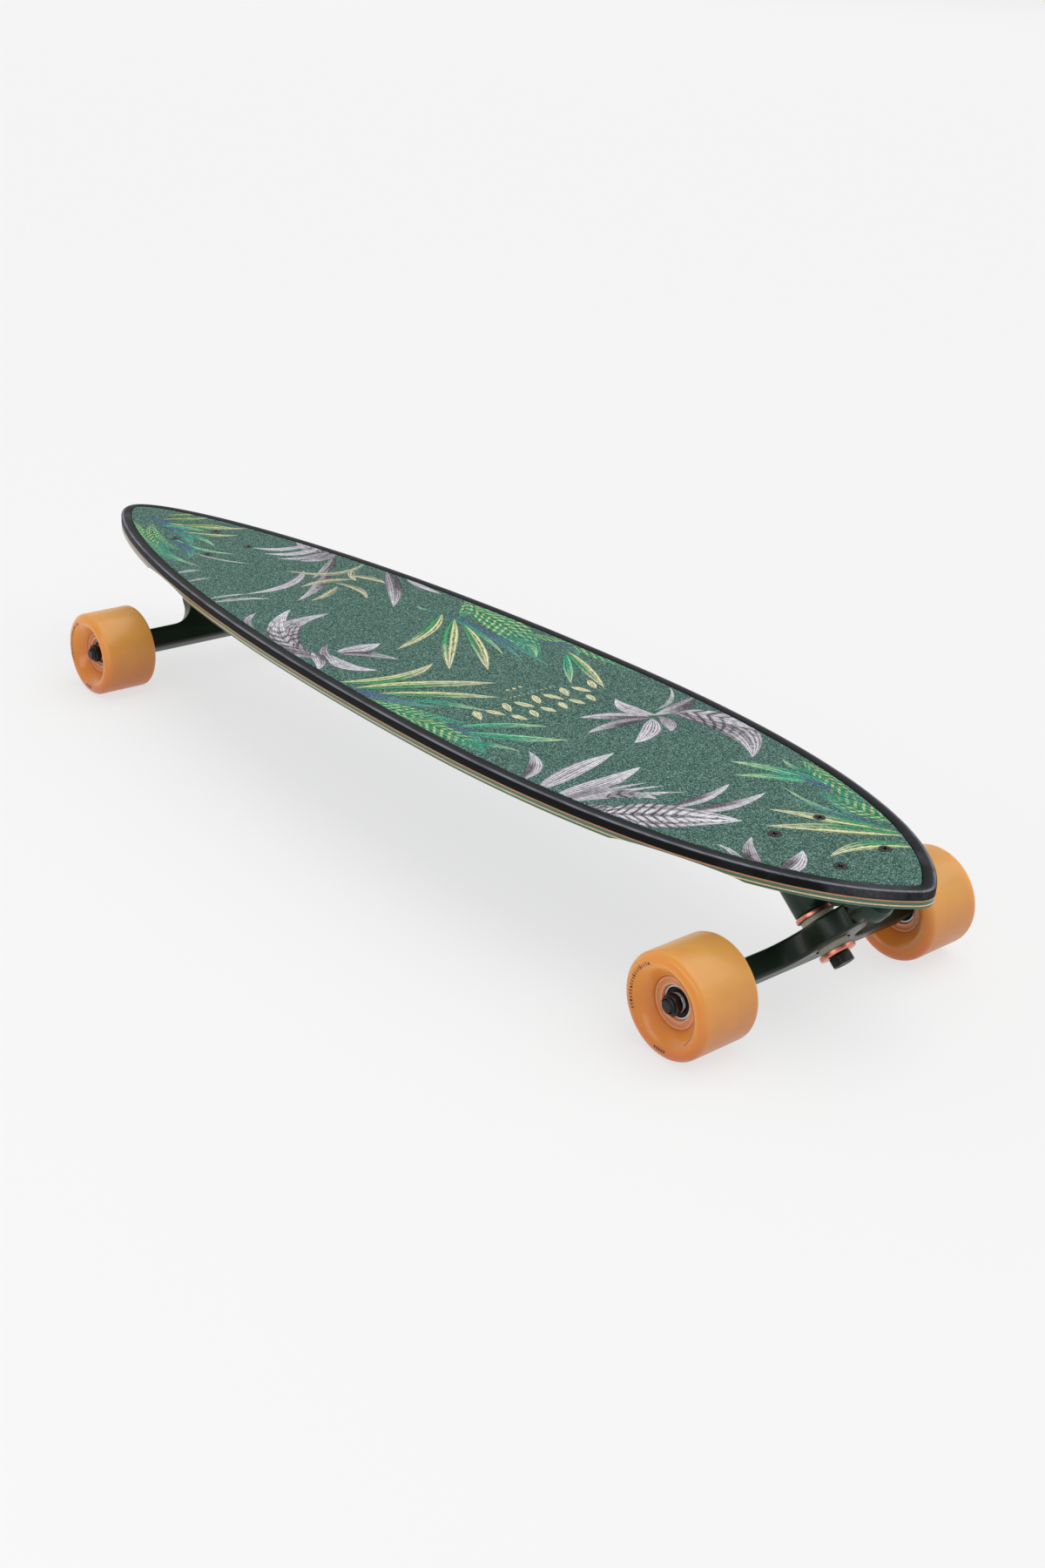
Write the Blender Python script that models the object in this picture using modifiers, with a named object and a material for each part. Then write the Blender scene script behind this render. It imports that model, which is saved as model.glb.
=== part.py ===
"""Pintail skateboard with reverse-kingpin trucks.

Metres, +Z up. The origin is on the ground under the middle of the deck. +X points to the nose, and the
wheels stand on z = 0. Each truck is modelled once, in its own frame, and placed at both ends of the
wheelbase, turned half round at the tail.
"""
import math

import bmesh
import bpy
from mathutils import Matrix, Vector

GAP = 0.0003                       # air between pieces that touch on the real board

# Deck
DECK_TOP = 0.1122
DECK_THICKNESS = 0.0115
RAIL_HEIGHT = 0.0055               # black edge moulding on top of the lower plies
RAIL_WIDTH = 0.009
RAIL_ROUND = 0.0018
GRIP_THICKNESS = 0.0010
EDGE_ROUND = 0.0008                # sanded lower edge
NOSE_LENGTH = 0.355                # tip to the widest point
TAIL_LENGTH = 0.583
HALF_WIDTH = 0.109
TIP_RADIUS = 0.013
NOSE_ANGLE = math.radians(56.7)    # half angle of the point that the tip radius rounds
NOSE_HANDLE = 0.0612
NOSE_SHOULDER = 0.1989
TAIL_ANGLE = math.radians(63.1)
TAIL_HANDLE = 0.0271
TAIL_SHOULDER = 0.3714
WELL_INSET = 0.0505                # wheel wells, inboard of each bolt pattern
WELL_SIZE = (0.054, 0.034, 0.0062)
WELL_SINK = 0.0019                 # the cutter's centre below the deck's underside

# Trucks
WHEELBASE = 0.719                  # between the bolt patterns' centres
WHEELBASE_MIDDLE = 0.030           # the trucks sit nearer the nose, because the tail is longer
BOLT_SPACING = (0.0535, 0.0413)
TILT = math.radians(50.0)          # the steering axis, from the ground
AXLE_INSET = 0.0062                # axle inboard of the bolt pattern's centre
AXLE_HEIGHT = 0.035
SEAT_OFFSET = 0.0204               # axle to bushing seat, along the steering axis
AXLE_RADIUS = 0.0040
AXLE_TIP = 0.126
HANGER_HALF_WIDTH = 0.090
HANGER_HALF_THICKNESS = 0.008
HANGER_BEVEL = 0.0016
SEAT_RADIUS = 0.0123
SEAT_WEB = 0.0015                  # half the web between the two bushing seats
WEB_HOLE_RADIUS = 0.0070
NOSE_PIN_RADIUS = 0.0066
NOSE_PIN_END = 0.0515              # end of the pivot pin, beyond the bushing seat
HOUSING_RADIUS = 0.0134
HOUSING_START = 0.0436
HOUSING_END = 0.0560
CUP_RADIUS = 0.0083
PLATE_LENGTH = (-0.042, 0.046)     # inboard and outboard of the bolt pattern's centre
PLATE_HALF_WIDTH = 0.0285
PLATE_THICKNESS = 0.008
PLATE_CORNER = 0.008
BOSS_RADIUS = 0.0126
WEB_HALF_WIDTH = 0.0095            # web between the boss and the plate
BOSS_SEAT = 0.0160                 # kingpin boss face, board-side of the bushing seat
BOSS_BACK = 0.0380
KINGPIN_RADIUS = 0.0047
KINGPIN_END = -0.0219
KINGPIN_HEAD = (0.0080, 0.0065)    # radius, height
BOARD_BUSHING = (0.0116, 0.0121)   # radius, height
ROAD_BUSHING = (0.0106, 0.0116)
BOARD_WASHER_RADIUS = 0.0135
ROAD_WASHER_RADIUS = 0.0124
WASHER_SHEET = 0.0014
WASHER_LIP = 0.0017
KINGPIN_NUT = (0.0138, 0.0068)     # across flats, height

# Wheels
WHEEL_RADIUS = 0.035
WHEEL_WIDTH = 0.0485
WHEEL_CENTRE = 0.10425             # from the deck's centre line
WHEEL_FACETS = 32
CONTACT_WIDTH = 0.040
FACE_RADIUS = 0.0245               # where the rounded lip meets the side face
RECESS_RADIUS = 0.0165
RECESS_DEPTH = 0.0110
BEARING_RADIUS = 0.011
BEARING_WIDTH = 0.007
BEARING_BORE = AXLE_RADIUS + GAP
BEARING_INSET = 0.005              # half the gap between a wheel's two bearings
SPACER_RADIUS = 0.0053
CORE_BORE = 0.0085
WASHER_ROOM = 0.0018               # for the speed washer beside each bearing
AXLE_NUT = (0.0127, 0.0066)        # across flats, height

# Deck bolts
BOLT_RADIUS = 0.0024
BOLT_HEAD_RADIUS = 0.0045
BOLT_HEAD_HEIGHT = 0.0024
BOLT_LENGTH = 0.0260
BOLT_SINK = 0.0002
LOCK_NUT = (0.0090, 0.0055)        # across flats, height

DECK_BOTTOM = DECK_TOP - DECK_THICKNESS
PLATE_TOP = DECK_BOTTOM - GAP
PLATE_BOTTOM = PLATE_TOP - PLATE_THICKNESS
STEER = Vector((math.cos(TILT), 0.0, math.sin(TILT)))
AXLE_POINT = Vector((-AXLE_INSET, 0.0, AXLE_HEIGHT))
SEAT_POINT = AXLE_POINT + SEAT_OFFSET * STEER
SIDE_ON = Matrix.Rotation(math.radians(90.0), 4, 'X')      # a turned shape's axis along Y
PIN_ON = Matrix.Rotation(math.radians(90.0), 4, 'Y')       # a turned shape's axis along X


# ---------------------------------------------------------------- helpers

def clear_scene():
    for obj in list(bpy.data.objects):
        bpy.data.objects.remove(obj)


def material(name, colour, roughness, metallic=0.0, alpha=1.0):
    """A plain Principled finish for one sub-part."""
    mat = bpy.data.materials.new(name)
    mat.use_nodes = True
    shader = mat.node_tree.nodes["Principled BSDF"]
    shader.inputs["Base Color"].default_value = (*colour, 1.0)
    shader.inputs["Roughness"].default_value = roughness
    shader.inputs["Metallic"].default_value = metallic
    shader.inputs["Alpha"].default_value = alpha
    return mat


def add_object(name, mesh, collection, parent=None, place=Matrix(), finish=None):
    obj = bpy.data.objects.new(name, mesh)
    collection.objects.link(obj)
    obj.parent = parent
    obj.matrix_local = place
    if finish is not None and not mesh.materials:
        mesh.materials.append(finish)
    return obj


def add_empty(name, collection, parent=None, place=Matrix()):
    empty = bpy.data.objects.new(name, None)
    empty.empty_display_size = 0.02
    collection.objects.link(empty)
    empty.parent = parent
    empty.matrix_local = place
    return empty


def mesh_from(bm, name):
    bmesh.ops.recalc_face_normals(bm, faces=bm.faces)
    mesh = bpy.data.meshes.new(name)
    bm.to_mesh(mesh)
    bm.free()
    mesh.shade_smooth()
    mesh.set_sharp_from_angle(angle=math.radians(35.0))
    return mesh


def evaluated_mesh(obj):
    """The object's mesh with its modifiers applied, for copies to share."""
    graph = bpy.context.evaluated_depsgraph_get()
    mesh = bpy.data.meshes.new_from_object(obj.evaluated_get(graph))
    obj.modifiers.clear()
    obj.data = mesh
    return mesh


def turned(name, profile, steps, phase=0.0, turn=Matrix()):
    """Turn a profile of (radius, height) points about Z, then turn the result as a whole.

    The profile runs down its outer side. One that starts and ends on the axis is a solid, and any other
    is a closed ring section.
    """
    solid = profile[0][0] == 0.0
    bm = bmesh.new()
    verts = [bm.verts.new((r * math.cos(phase), r * math.sin(phase), z)) for r, z in profile]
    for start, end in zip(verts, verts[1:]):
        bm.edges.new((start, end))
    if not solid:
        bm.edges.new((verts[-1], verts[0]))
    mesh = bpy.data.meshes.new(name)
    bm.to_mesh(mesh)
    bm.free()
    lathe = bpy.data.objects.new(name, mesh)
    bpy.context.scene.collection.objects.link(lathe)
    screw = lathe.modifiers.new("turn", 'SCREW')
    screw.steps = steps
    screw.render_steps = steps
    screw.use_merge_vertices = True
    screw.merge_threshold = 0.00001
    bpy.context.view_layer.update()
    result = evaluated_mesh(lathe)
    bpy.data.objects.remove(lathe)
    bm = bmesh.new()
    bm.from_mesh(result)
    bmesh.ops.transform(bm, matrix=turn, verts=bm.verts)
    return mesh_from(bm, name)


def rod(name, radius, low, high, steps, turn=Matrix()):
    """A plain cylinder between two heights."""
    profile = [(0.0, high), (radius, high), (radius, low), (0.0, low)]
    return turned(name, profile, steps, turn=turn)


def prism(name, outline, low, high, bevel=0.0, segments=2):
    """An outline in XY extruded along Z, with its edges rounded."""
    bm = bmesh.new()
    base = bm.faces.new([bm.verts.new((x, y, low)) for x, y in outline])
    extruded = bmesh.ops.extrude_face_region(bm, geom=[base])
    moved = [item for item in extruded["geom"] if isinstance(item, bmesh.types.BMVert)]
    bmesh.ops.translate(bm, verts=moved, vec=(0.0, 0.0, high - low))
    if bevel:
        rims = [edge for edge in bm.edges if abs(edge.verts[0].co.z - edge.verts[1].co.z) < 1e-6]
        bmesh.ops.bevel(bm, geom=rims, offset=bevel, segments=segments, profile=0.5, affect='EDGES')
    return mesh_from(bm, name)


def hex_nut(name, across_flats, low, high, bore, turn=Matrix()):
    """A six-sided nut with chamfered corners and a round bore."""
    corner = across_flats / math.sqrt(3.0)
    chamfer = 0.12 * (corner - bore)
    outer = []
    inner = []
    bm = bmesh.new()
    for height, radius in ((low, corner - chamfer), (low + chamfer, corner),
                           (high - chamfer, corner), (high, corner - chamfer)):
        outer.append([bm.verts.new((radius * math.cos(k * math.pi / 3), radius * math.sin(k * math.pi / 3),
                                    height)) for k in range(6)])
    for height in (low, high):
        inner.append([bm.verts.new((bore * math.cos(k * math.pi / 9), bore * math.sin(k * math.pi / 9),
                                    height)) for k in range(18)])
    for lower, upper in ((outer[0], outer[1]), (outer[1], outer[2]), (outer[2], outer[3])):
        for k in range(6):
            bm.faces.new((lower[k], lower[(k + 1) % 6], upper[(k + 1) % 6], upper[k]))
    for k in range(18):
        bm.faces.new((inner[0][k], inner[1][k], inner[1][(k + 1) % 18], inner[0][(k + 1) % 18]))
    for rim, hole in ((outer[0], inner[0]), (outer[3], inner[1])):
        for k in range(6):
            arc = [hole[(3 * k + step) % 18] for step in range(4)]
            bm.faces.new([rim[k], *arc, rim[(k + 1) % 6]])
    bmesh.ops.transform(bm, matrix=turn, verts=bm.verts)
    return mesh_from(bm, name)


def cut(obj, cutter, operation='DIFFERENCE'):
    """Cut or join with another object, which is then hidden as a guide."""
    boolean = obj.modifiers.new(cutter.name, 'BOOLEAN')
    boolean.operation = operation
    boolean.solver = 'EXACT'
    boolean.object = cutter
    cutter.hide_render = True
    cutter.display_type = 'WIRE'


# ---------------------------------------------------------------- deck

def cubic(points, t):
    a, b, c, d = points
    s = 1.0 - t
    return s ** 3 * a + 3 * s * s * t * b + 3 * s * t * t * c + t ** 3 * d


def cubic_slope(points, t):
    a, b, c, d = points
    s = 1.0 - t
    return 3 * s * s * (b - a) + 6 * s * t * (c - b) + 3 * t * t * (d - c)


def end_outline(length, angle, handle, shoulder, inset, steps):
    """One end of the deck, from its tip to its widest point, as (distance from the tip, half width).

    A cubic starts at the tip radius's centre. The outline runs beside it, one tip radius away, and round
    the centre as an arc, so every inset of it keeps the same number of points.
    """
    away = TIP_RADIUS - inset
    start = Vector((TIP_RADIUS, 0.0))
    widest = Vector((length, HALF_WIDTH - TIP_RADIUS))
    route = (start, start + handle * Vector((math.cos(angle), math.sin(angle))),
             widest - Vector((shoulder, 0.0)), widest)
    points = []
    arc_steps = 6
    for k in range(arc_steps):
        turn = math.pi - k / arc_steps * (math.pi / 2 - angle)
        points.append(start + away * Vector((math.cos(turn), math.sin(turn))))
    for k in range(steps + 1):
        t = (k / steps) ** 1.3
        slope = cubic_slope(route, t).normalized()
        points.append(cubic(route, t) + away * Vector((-slope.y, slope.x)))
    return points


def deck_outline(inset):
    """The whole outline, moved in by inset, as a closed loop of (x, y)."""
    nose = end_outline(NOSE_LENGTH, NOSE_ANGLE, NOSE_HANDLE, NOSE_SHOULDER, inset, 15)
    tail = end_outline(TAIL_LENGTH, TAIL_ANGLE, TAIL_HANDLE, TAIL_SHOULDER, inset, 19)
    half_length = (NOSE_LENGTH + TAIL_LENGTH) / 2
    side = [(half_length - p.x, p.y) for p in nose]
    side += [(p.x - half_length, p.y) for p in reversed(tail[:-1])]
    return side + [(x, -y) for x, y in reversed(side[1:-1])]


def lofted(name, rings, capped):
    """A skin over loops of (inset, height) that all follow the deck's outline."""
    bm = bmesh.new()
    loops = [[bm.verts.new((x, y, z)) for x, y in deck_outline(inset)] for inset, z in rings]
    pairs = list(zip(loops, loops[1:]))
    if capped:
        bm.faces.new(loops[0])
        bm.faces.new(loops[-1])
    else:
        pairs.append((loops[-1], loops[0]))
    for low, high in pairs:
        for k in range(len(low)):
            following = (k + 1) % len(low)
            bm.faces.new((low[k], low[following], high[following], high[k]))
    return mesh_from(bm, name)


def bolt_places():
    """Every deck bolt as (name, x, y), front truck first."""
    for end, sign in (("front", 1), ("rear", -1)):
        centre = WHEELBASE_MIDDLE + sign * WHEELBASE / 2
        number = 0
        for side_x in (1, -1):
            for side_y in (1, -1):
                number += 1
                place = (centre + side_x * BOLT_SPACING[0] / 2, side_y * BOLT_SPACING[1] / 2)
                yield end, number, place


def build_deck(parts, cutters):
    rail_bottom = DECK_TOP - RAIL_HEIGHT
    core_top = DECK_TOP - GRIP_THICKNESS - GAP
    core_inset = RAIL_WIDTH + GAP / 2
    rail_inset = RAIL_WIDTH - GAP / 2
    wood = material("wood", (0.05, 0.17, 0.11), 0.35)
    black = material("rail", (0.02, 0.02, 0.022), 0.35)
    grit = material("grip", (0.06, 0.13, 0.10), 0.9)

    laminate = add_object("deck_laminate", lofted("deck_laminate", [
        (EDGE_ROUND, DECK_BOTTOM), (0.0, DECK_BOTTOM + EDGE_ROUND), (0.0, rail_bottom - GAP),
        (core_inset, rail_bottom - GAP), (core_inset, core_top)], True), parts, finish=wood)
    add_object("edge_rail", lofted("edge_rail", [
        (rail_inset, rail_bottom), (0.0, rail_bottom), (0.0, DECK_TOP - RAIL_ROUND),
        (0.3 * RAIL_ROUND, DECK_TOP - 0.3 * RAIL_ROUND), (RAIL_ROUND, DECK_TOP),
        (rail_inset, DECK_TOP)], False), parts, finish=black)
    grip = add_object("grip_sheet", lofted("grip_sheet", [
        (core_inset, DECK_TOP - GRIP_THICKNESS), (core_inset, DECK_TOP)], True), parts, finish=grit)

    head_room = BOLT_HEAD_RADIUS + GAP
    sink_depth = head_room - BOLT_RADIUS - GAP
    head_top = DECK_TOP - BOLT_SINK
    bolt_hole = turned("bolt_hole", [
        (0.0, DECK_TOP + 0.002), (head_room, DECK_TOP + 0.002), (head_room, head_top),
        (BOLT_RADIUS + GAP, head_top - sink_depth), (BOLT_RADIUS + GAP, DECK_BOTTOM - 0.002),
        (0.0, DECK_BOTTOM - 0.002)], 14)
    for end, number, (x, y) in bolt_places():
        hole = add_object(f"{end}_bolt_hole_{number}", bolt_hole, cutters,
                          place=Matrix.Translation((x, y, 0.0)))
        cut(laminate, hole)
        cut(grip, hole)

    bm = bmesh.new()
    bmesh.ops.create_uvsphere(bm, u_segments=18, v_segments=12, radius=1.0)
    bmesh.ops.scale(bm, vec=WELL_SIZE, verts=bm.verts)
    well = mesh_from(bm, "wheel_well")
    for end, sign in (("front", 1), ("rear", -1)):
        x = WHEELBASE_MIDDLE + sign * (WHEELBASE / 2 - WELL_INSET)
        inset_loop = deck_outline(0.0)
        edge = min(inset_loop, key=lambda point: abs(point[0] - x) + (point[1] < 0))[1]
        for side, direction in (("left", 1), ("right", -1)):
            place = Matrix.Translation((x, direction * edge, DECK_BOTTOM - WELL_SINK))
            cut(laminate, add_object(f"{end}_{side}_well", well, cutters, place=place))


# ---------------------------------------------------------------- trucks

def hanger_outline():
    """The hanger from its face side: X along the steering axis from the bushing seat, Y along the axle."""
    arm_top = -SEAT_OFFSET + 0.0095
    arm_bottom = -SEAT_OFFSET - 0.0085
    side = [(0.0315, 0.0072), (0.0270, 0.0092), (0.0225, 0.0142), (0.0165, 0.0182), (0.0105, 0.0196)]
    fillet = 0.0235
    corner = (0.0105, 0.0196 + fillet)
    for k in range(1, 8):
        turn = -math.pi / 2 - k / 8 * math.pi / 2
        drop = corner[0] - arm_top
        side.append((corner[0] + drop * math.cos(turn), corner[1] + fillet * math.sin(turn)))
    side.append((arm_top, corner[1] + 0.004))
    side.append((arm_top, HANGER_HALF_WIDTH))
    side.append((arm_bottom, HANGER_HALF_WIDTH))
    return side + [(x, -y) for x, y in reversed(side)]


def web_outline():
    """The web that joins the kingpin boss to the plate, from the side, in the truck's own X and Z."""
    away = Vector((-math.sin(TILT), math.cos(TILT)))
    along = Vector((math.cos(TILT), math.sin(TILT)))
    seat = Vector((SEAT_POINT.x, SEAT_POINT.z))
    reach = BOSS_RADIUS - 0.0010
    front = BOSS_SEAT + 0.0015
    back = BOSS_BACK - 0.0015
    outer_low = seat + front * away + reach * along
    inner_low = seat + front * away
    inner_back = seat + back * away
    outer_back = seat + back * away + 0.7 * reach * along
    buried = PLATE_BOTTOM + 0.4 * PLATE_THICKNESS
    return [tuple(inner_low), tuple(outer_low), (outer_low.x + 0.007, buried),
            (outer_back.x, buried), tuple(outer_back), tuple(inner_back)]


def baseplate_mesh(cutters):
    """Mounting plate, kingpin boss and pivot housing as one casting."""
    bm = bmesh.new()
    bmesh.ops.create_cube(bm, size=1.0)
    length = PLATE_LENGTH[1] - PLATE_LENGTH[0]
    bmesh.ops.scale(bm, vec=(length, 2 * PLATE_HALF_WIDTH, PLATE_THICKNESS), verts=bm.verts)
    middle = Vector((sum(PLATE_LENGTH) / 2, 0.0, PLATE_TOP - PLATE_THICKNESS / 2))
    bmesh.ops.translate(bm, vec=middle, verts=bm.verts)
    uprights = [edge for edge in bm.edges if abs(edge.verts[0].co.z - edge.verts[1].co.z) > 1e-6]
    bmesh.ops.bevel(bm, geom=uprights, offset=PLATE_CORNER, segments=4, profile=0.5, affect='EDGES')
    casting = add_object("baseplate_blank", mesh_from(bm, "baseplate"), cutters)

    web = prism("boss_web", web_outline(), -WEB_HALF_WIDTH, WEB_HALF_WIDTH)
    web.transform(SIDE_ON)
    cut(casting, add_object("boss_web", web, cutters), 'UNION')
    seat_place = Matrix.Translation(SEAT_POINT) @ Matrix.Rotation(-TILT, 4, 'Y')
    boss = rod("kingpin_boss", BOSS_RADIUS, BOSS_SEAT, BOSS_BACK, 28)
    cut(casting, add_object("kingpin_boss", boss, cutters, place=seat_place), 'UNION')
    housing = rod("pivot_housing", HOUSING_RADIUS, HOUSING_START, HOUSING_END, 28, PIN_ON)
    cut(casting, add_object("pivot_housing", housing, cutters, place=seat_place), 'UNION')

    bm = bmesh.new()
    bmesh.ops.create_cube(bm, size=0.2)
    bmesh.ops.translate(bm, vec=(0.0, 0.0, PLATE_TOP + 0.1), verts=bm.verts)
    cut(casting, add_object("plate_level", mesh_from(bm, "plate_level"), cutters))

    cup_hole = rod("cup_hole", CUP_RADIUS + GAP, HOUSING_START - 0.01, HOUSING_END - 0.0035, 24, PIN_ON)
    cut(casting, add_object("cup_hole", cup_hole, cutters, place=seat_place))
    bore = rod("kingpin_bore", KINGPIN_RADIUS + GAP, BOSS_SEAT - 0.01, BOSS_BACK + 0.01, 20)
    cut(casting, add_object("kingpin_bore", bore, cutters, place=seat_place))
    drill = rod("plate_drill", BOLT_RADIUS + GAP, PLATE_BOTTOM - 0.01, PLATE_TOP + 0.01, 14)
    for number, (side_x, side_y) in enumerate(((1, 1), (1, -1), (-1, 1), (-1, -1)), 1):
        place = Matrix.Translation((side_x * BOLT_SPACING[0] / 2, side_y * BOLT_SPACING[1] / 2, 0.0))
        cut(casting, add_object(f"plate_drill_{number}", drill, cutters, place=place))
    bpy.context.view_layer.update()
    mesh = evaluated_mesh(casting)
    bpy.data.objects.remove(casting)
    return mesh


def hanger_mesh(cutters):
    """Arms, bushing ring and pivot pin as one casting, with the bushing seat's centre at the origin."""
    half = HANGER_HALF_THICKNESS
    blank = add_object("hanger_blank", prism("hanger", hanger_outline(), -half, half, HANGER_BEVEL), cutters)
    pin = turned("pivot_pin", [
        (0.0, NOSE_PIN_END), (0.6 * NOSE_PIN_RADIUS, NOSE_PIN_END - 0.2 * NOSE_PIN_RADIUS),
        (NOSE_PIN_RADIUS, NOSE_PIN_END - NOSE_PIN_RADIUS), (NOSE_PIN_RADIUS, 0.0365),
        (0.0074, 0.0280), (0.0, 0.0280)], 20, turn=PIN_ON)
    cut(blank, add_object("pivot_pin", pin, cutters), 'UNION')
    for side, low, high in (("board", SEAT_WEB, 2 * half), ("road", -2 * half, -SEAT_WEB)):
        seat = rod(f"{side}_seat", SEAT_RADIUS, low, high, 28)
        cut(blank, add_object(f"{side}_seat", seat, cutters))
    cut(blank, add_object("web_hole", rod("web_hole", WEB_HOLE_RADIUS, -half, half, 20), cutters))
    axle_bore = rod("axle_bore", AXLE_RADIUS + GAP, -2 * HANGER_HALF_WIDTH, 2 * HANGER_HALF_WIDTH, 16, SIDE_ON)
    place = Matrix.Translation((-SEAT_OFFSET, 0.0, 0.0))
    cut(blank, add_object("axle_bore", axle_bore, cutters, place=place))
    bpy.context.view_layer.update()
    mesh = evaluated_mesh(blank)
    bpy.data.objects.remove(blank)
    return mesh


def cupped_washer(name, radius, face, toward):
    """A washer whose rim is pressed over the bushing. face is its outer height, toward is +1 or -1."""
    inner = radius - WASHER_SHEET
    hole = KINGPIN_RADIUS + GAP
    sheet = face - toward * WASHER_SHEET
    rim = sheet - toward * WASHER_LIP
    profile = [(radius - 0.0004, face), (radius, face - toward * 0.0004), (radius, rim), (inner, rim),
               (inner, sheet), (hole, sheet), (hole, face)]
    if toward < 0:
        profile.reverse()
    return turned(name, profile, 20)


def bushing(name, radius, low, high):
    hole = KINGPIN_RADIUS + GAP
    soft = 0.0010
    profile = [(radius - soft, high), (radius, high - soft), (radius, low + soft), (radius - soft, low),
               (hole, low), (hole, high)]
    return turned(name, profile, 18)


def truck_meshes(cutters):
    """The pieces that both trucks share: name, mesh, finish and the frame that each sits in."""
    paint = material("truck_paint", (0.015, 0.035, 0.028), 0.25, 0.2)
    copper = material("washer_copper", (0.72, 0.42, 0.33), 0.3, 1.0)
    urethane = material("bushing_urethane", (0.30, 0.33, 0.30), 0.45)
    steel = material("steel", (0.55, 0.55, 0.56), 0.3, 1.0)
    black_steel = material("black_steel", (0.02, 0.02, 0.022), 0.3, 0.6)
    cup_urethane = material("pivot_cup", (0.03, 0.03, 0.03), 0.6)

    base = SEAT_WEB + GAP
    board_top = base + BOARD_BUSHING[1]
    road_low = -base - ROAD_BUSHING[1]
    washer_low = road_low - GAP - WASHER_SHEET
    nut_top = washer_low - GAP
    head = BOSS_BACK + GAP
    kingpin = turned("kingpin", [
        (0.0, head + KINGPIN_HEAD[1]), (KINGPIN_HEAD[0] - 0.001, head + KINGPIN_HEAD[1]),
        (KINGPIN_HEAD[0], head + KINGPIN_HEAD[1] - 0.001), (KINGPIN_HEAD[0], head),
        (KINGPIN_RADIUS, head), (KINGPIN_RADIUS, KINGPIN_END + 0.0006),
        (KINGPIN_RADIUS - 0.0006, KINGPIN_END), (0.0, KINGPIN_END)], 20)
    cup_floor = HOUSING_END - 0.0035 - GAP
    cup = turned("pivot_cup", [
        (0.0, cup_floor), (CUP_RADIUS, cup_floor), (CUP_RADIUS, HOUSING_START + GAP),
        (NOSE_PIN_RADIUS + GAP, HOUSING_START + GAP), (NOSE_PIN_RADIUS + GAP, NOSE_PIN_END + GAP),
        (0.0, NOSE_PIN_END + GAP)], 24, turn=PIN_ON)
    axle = turned("axle", [
        (0.0, AXLE_TIP), (AXLE_RADIUS - 0.0006, AXLE_TIP), (AXLE_RADIUS, AXLE_TIP - 0.0006),
        (AXLE_RADIUS, 0.0006 - AXLE_TIP), (AXLE_RADIUS - 0.0006, -AXLE_TIP), (0.0, -AXLE_TIP)],
        16, turn=SIDE_ON)
    return [
        ("baseplate", baseplate_mesh(cutters), paint, "truck"),
        ("pivot_cup", cup, cup_urethane, "seat"),
        ("kingpin", kingpin, steel, "seat"),
        ("board_side_washer", cupped_washer("board_side_washer", BOARD_WASHER_RADIUS,
                                            BOSS_SEAT - GAP, 1), copper, "seat"),
        ("board_side_bushing", bushing("board_side_bushing", BOARD_BUSHING[0], base, board_top),
         urethane, "seat"),
        ("road_side_bushing", bushing("road_side_bushing", ROAD_BUSHING[0], road_low, -base),
         urethane, "seat"),
        ("road_side_washer", cupped_washer("road_side_washer", ROAD_WASHER_RADIUS, washer_low, -1),
         copper, "seat"),
        ("kingpin_nut", hex_nut("kingpin_nut", KINGPIN_NUT[0], nut_top - KINGPIN_NUT[1], nut_top,
                                KINGPIN_RADIUS + GAP), black_steel, "seat"),
        ("hanger", hanger_mesh(cutters), paint, "seat"),
        ("axle", axle, steel, "axle"),
    ]


def wheel_profile():
    """Half section of a wheel about its own centre: tread, rounded lips, dished faces and bearing seats."""
    half = WHEEL_WIDTH / 2
    flat = CONTACT_WIDTH / 2
    tread = WHEEL_RADIUS / math.cos(math.pi / WHEEL_FACETS)
    lip = []
    for k in range(5):
        turn = k / 4 * math.pi / 2
        lip.append((FACE_RADIUS + (tread - FACE_RADIUS) * math.sin(turn),
                    flat + (half - flat) * math.cos(turn)))
    bore = BEARING_RADIUS + GAP
    dish = [(CORE_BORE, BEARING_INSET - GAP), (bore, BEARING_INSET - GAP),
            (bore, half - RECESS_DEPTH), (RECESS_RADIUS - 0.0012, half - RECESS_DEPTH + 0.0004),
            (RECESS_RADIUS, half - RECESS_DEPTH + 0.002), (RECESS_RADIUS + 0.0035, half - 0.0022)]
    upper = dish + lip
    lower = [(radius, -height) for radius, height in reversed(upper)]
    return upper + lower


def build_truck(end, sign, pieces, parts):
    """Place one truck's frames and pieces, then its wheels."""
    place = Matrix.Translation((WHEELBASE_MIDDLE + sign * WHEELBASE / 2, 0.0, 0.0))
    if sign < 0:
        place = place @ Matrix.Rotation(math.pi, 4, 'Z')
    truck = add_empty(f"{end}_truck_frame", parts, place=place)
    seat = add_empty(f"{end}_steering_axis", parts, truck,
                     Matrix.Translation(SEAT_POINT) @ Matrix.Rotation(-TILT, 4, 'Y'))
    axle = add_empty(f"{end}_axle_line", parts, truck, Matrix.Translation(AXLE_POINT))
    frames = {"truck": truck, "seat": seat, "axle": axle}
    for name, mesh, finish, frame in pieces:
        add_object(f"{end}_{name}", mesh, parts, frames[frame], finish=finish)
    return axle


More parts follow.
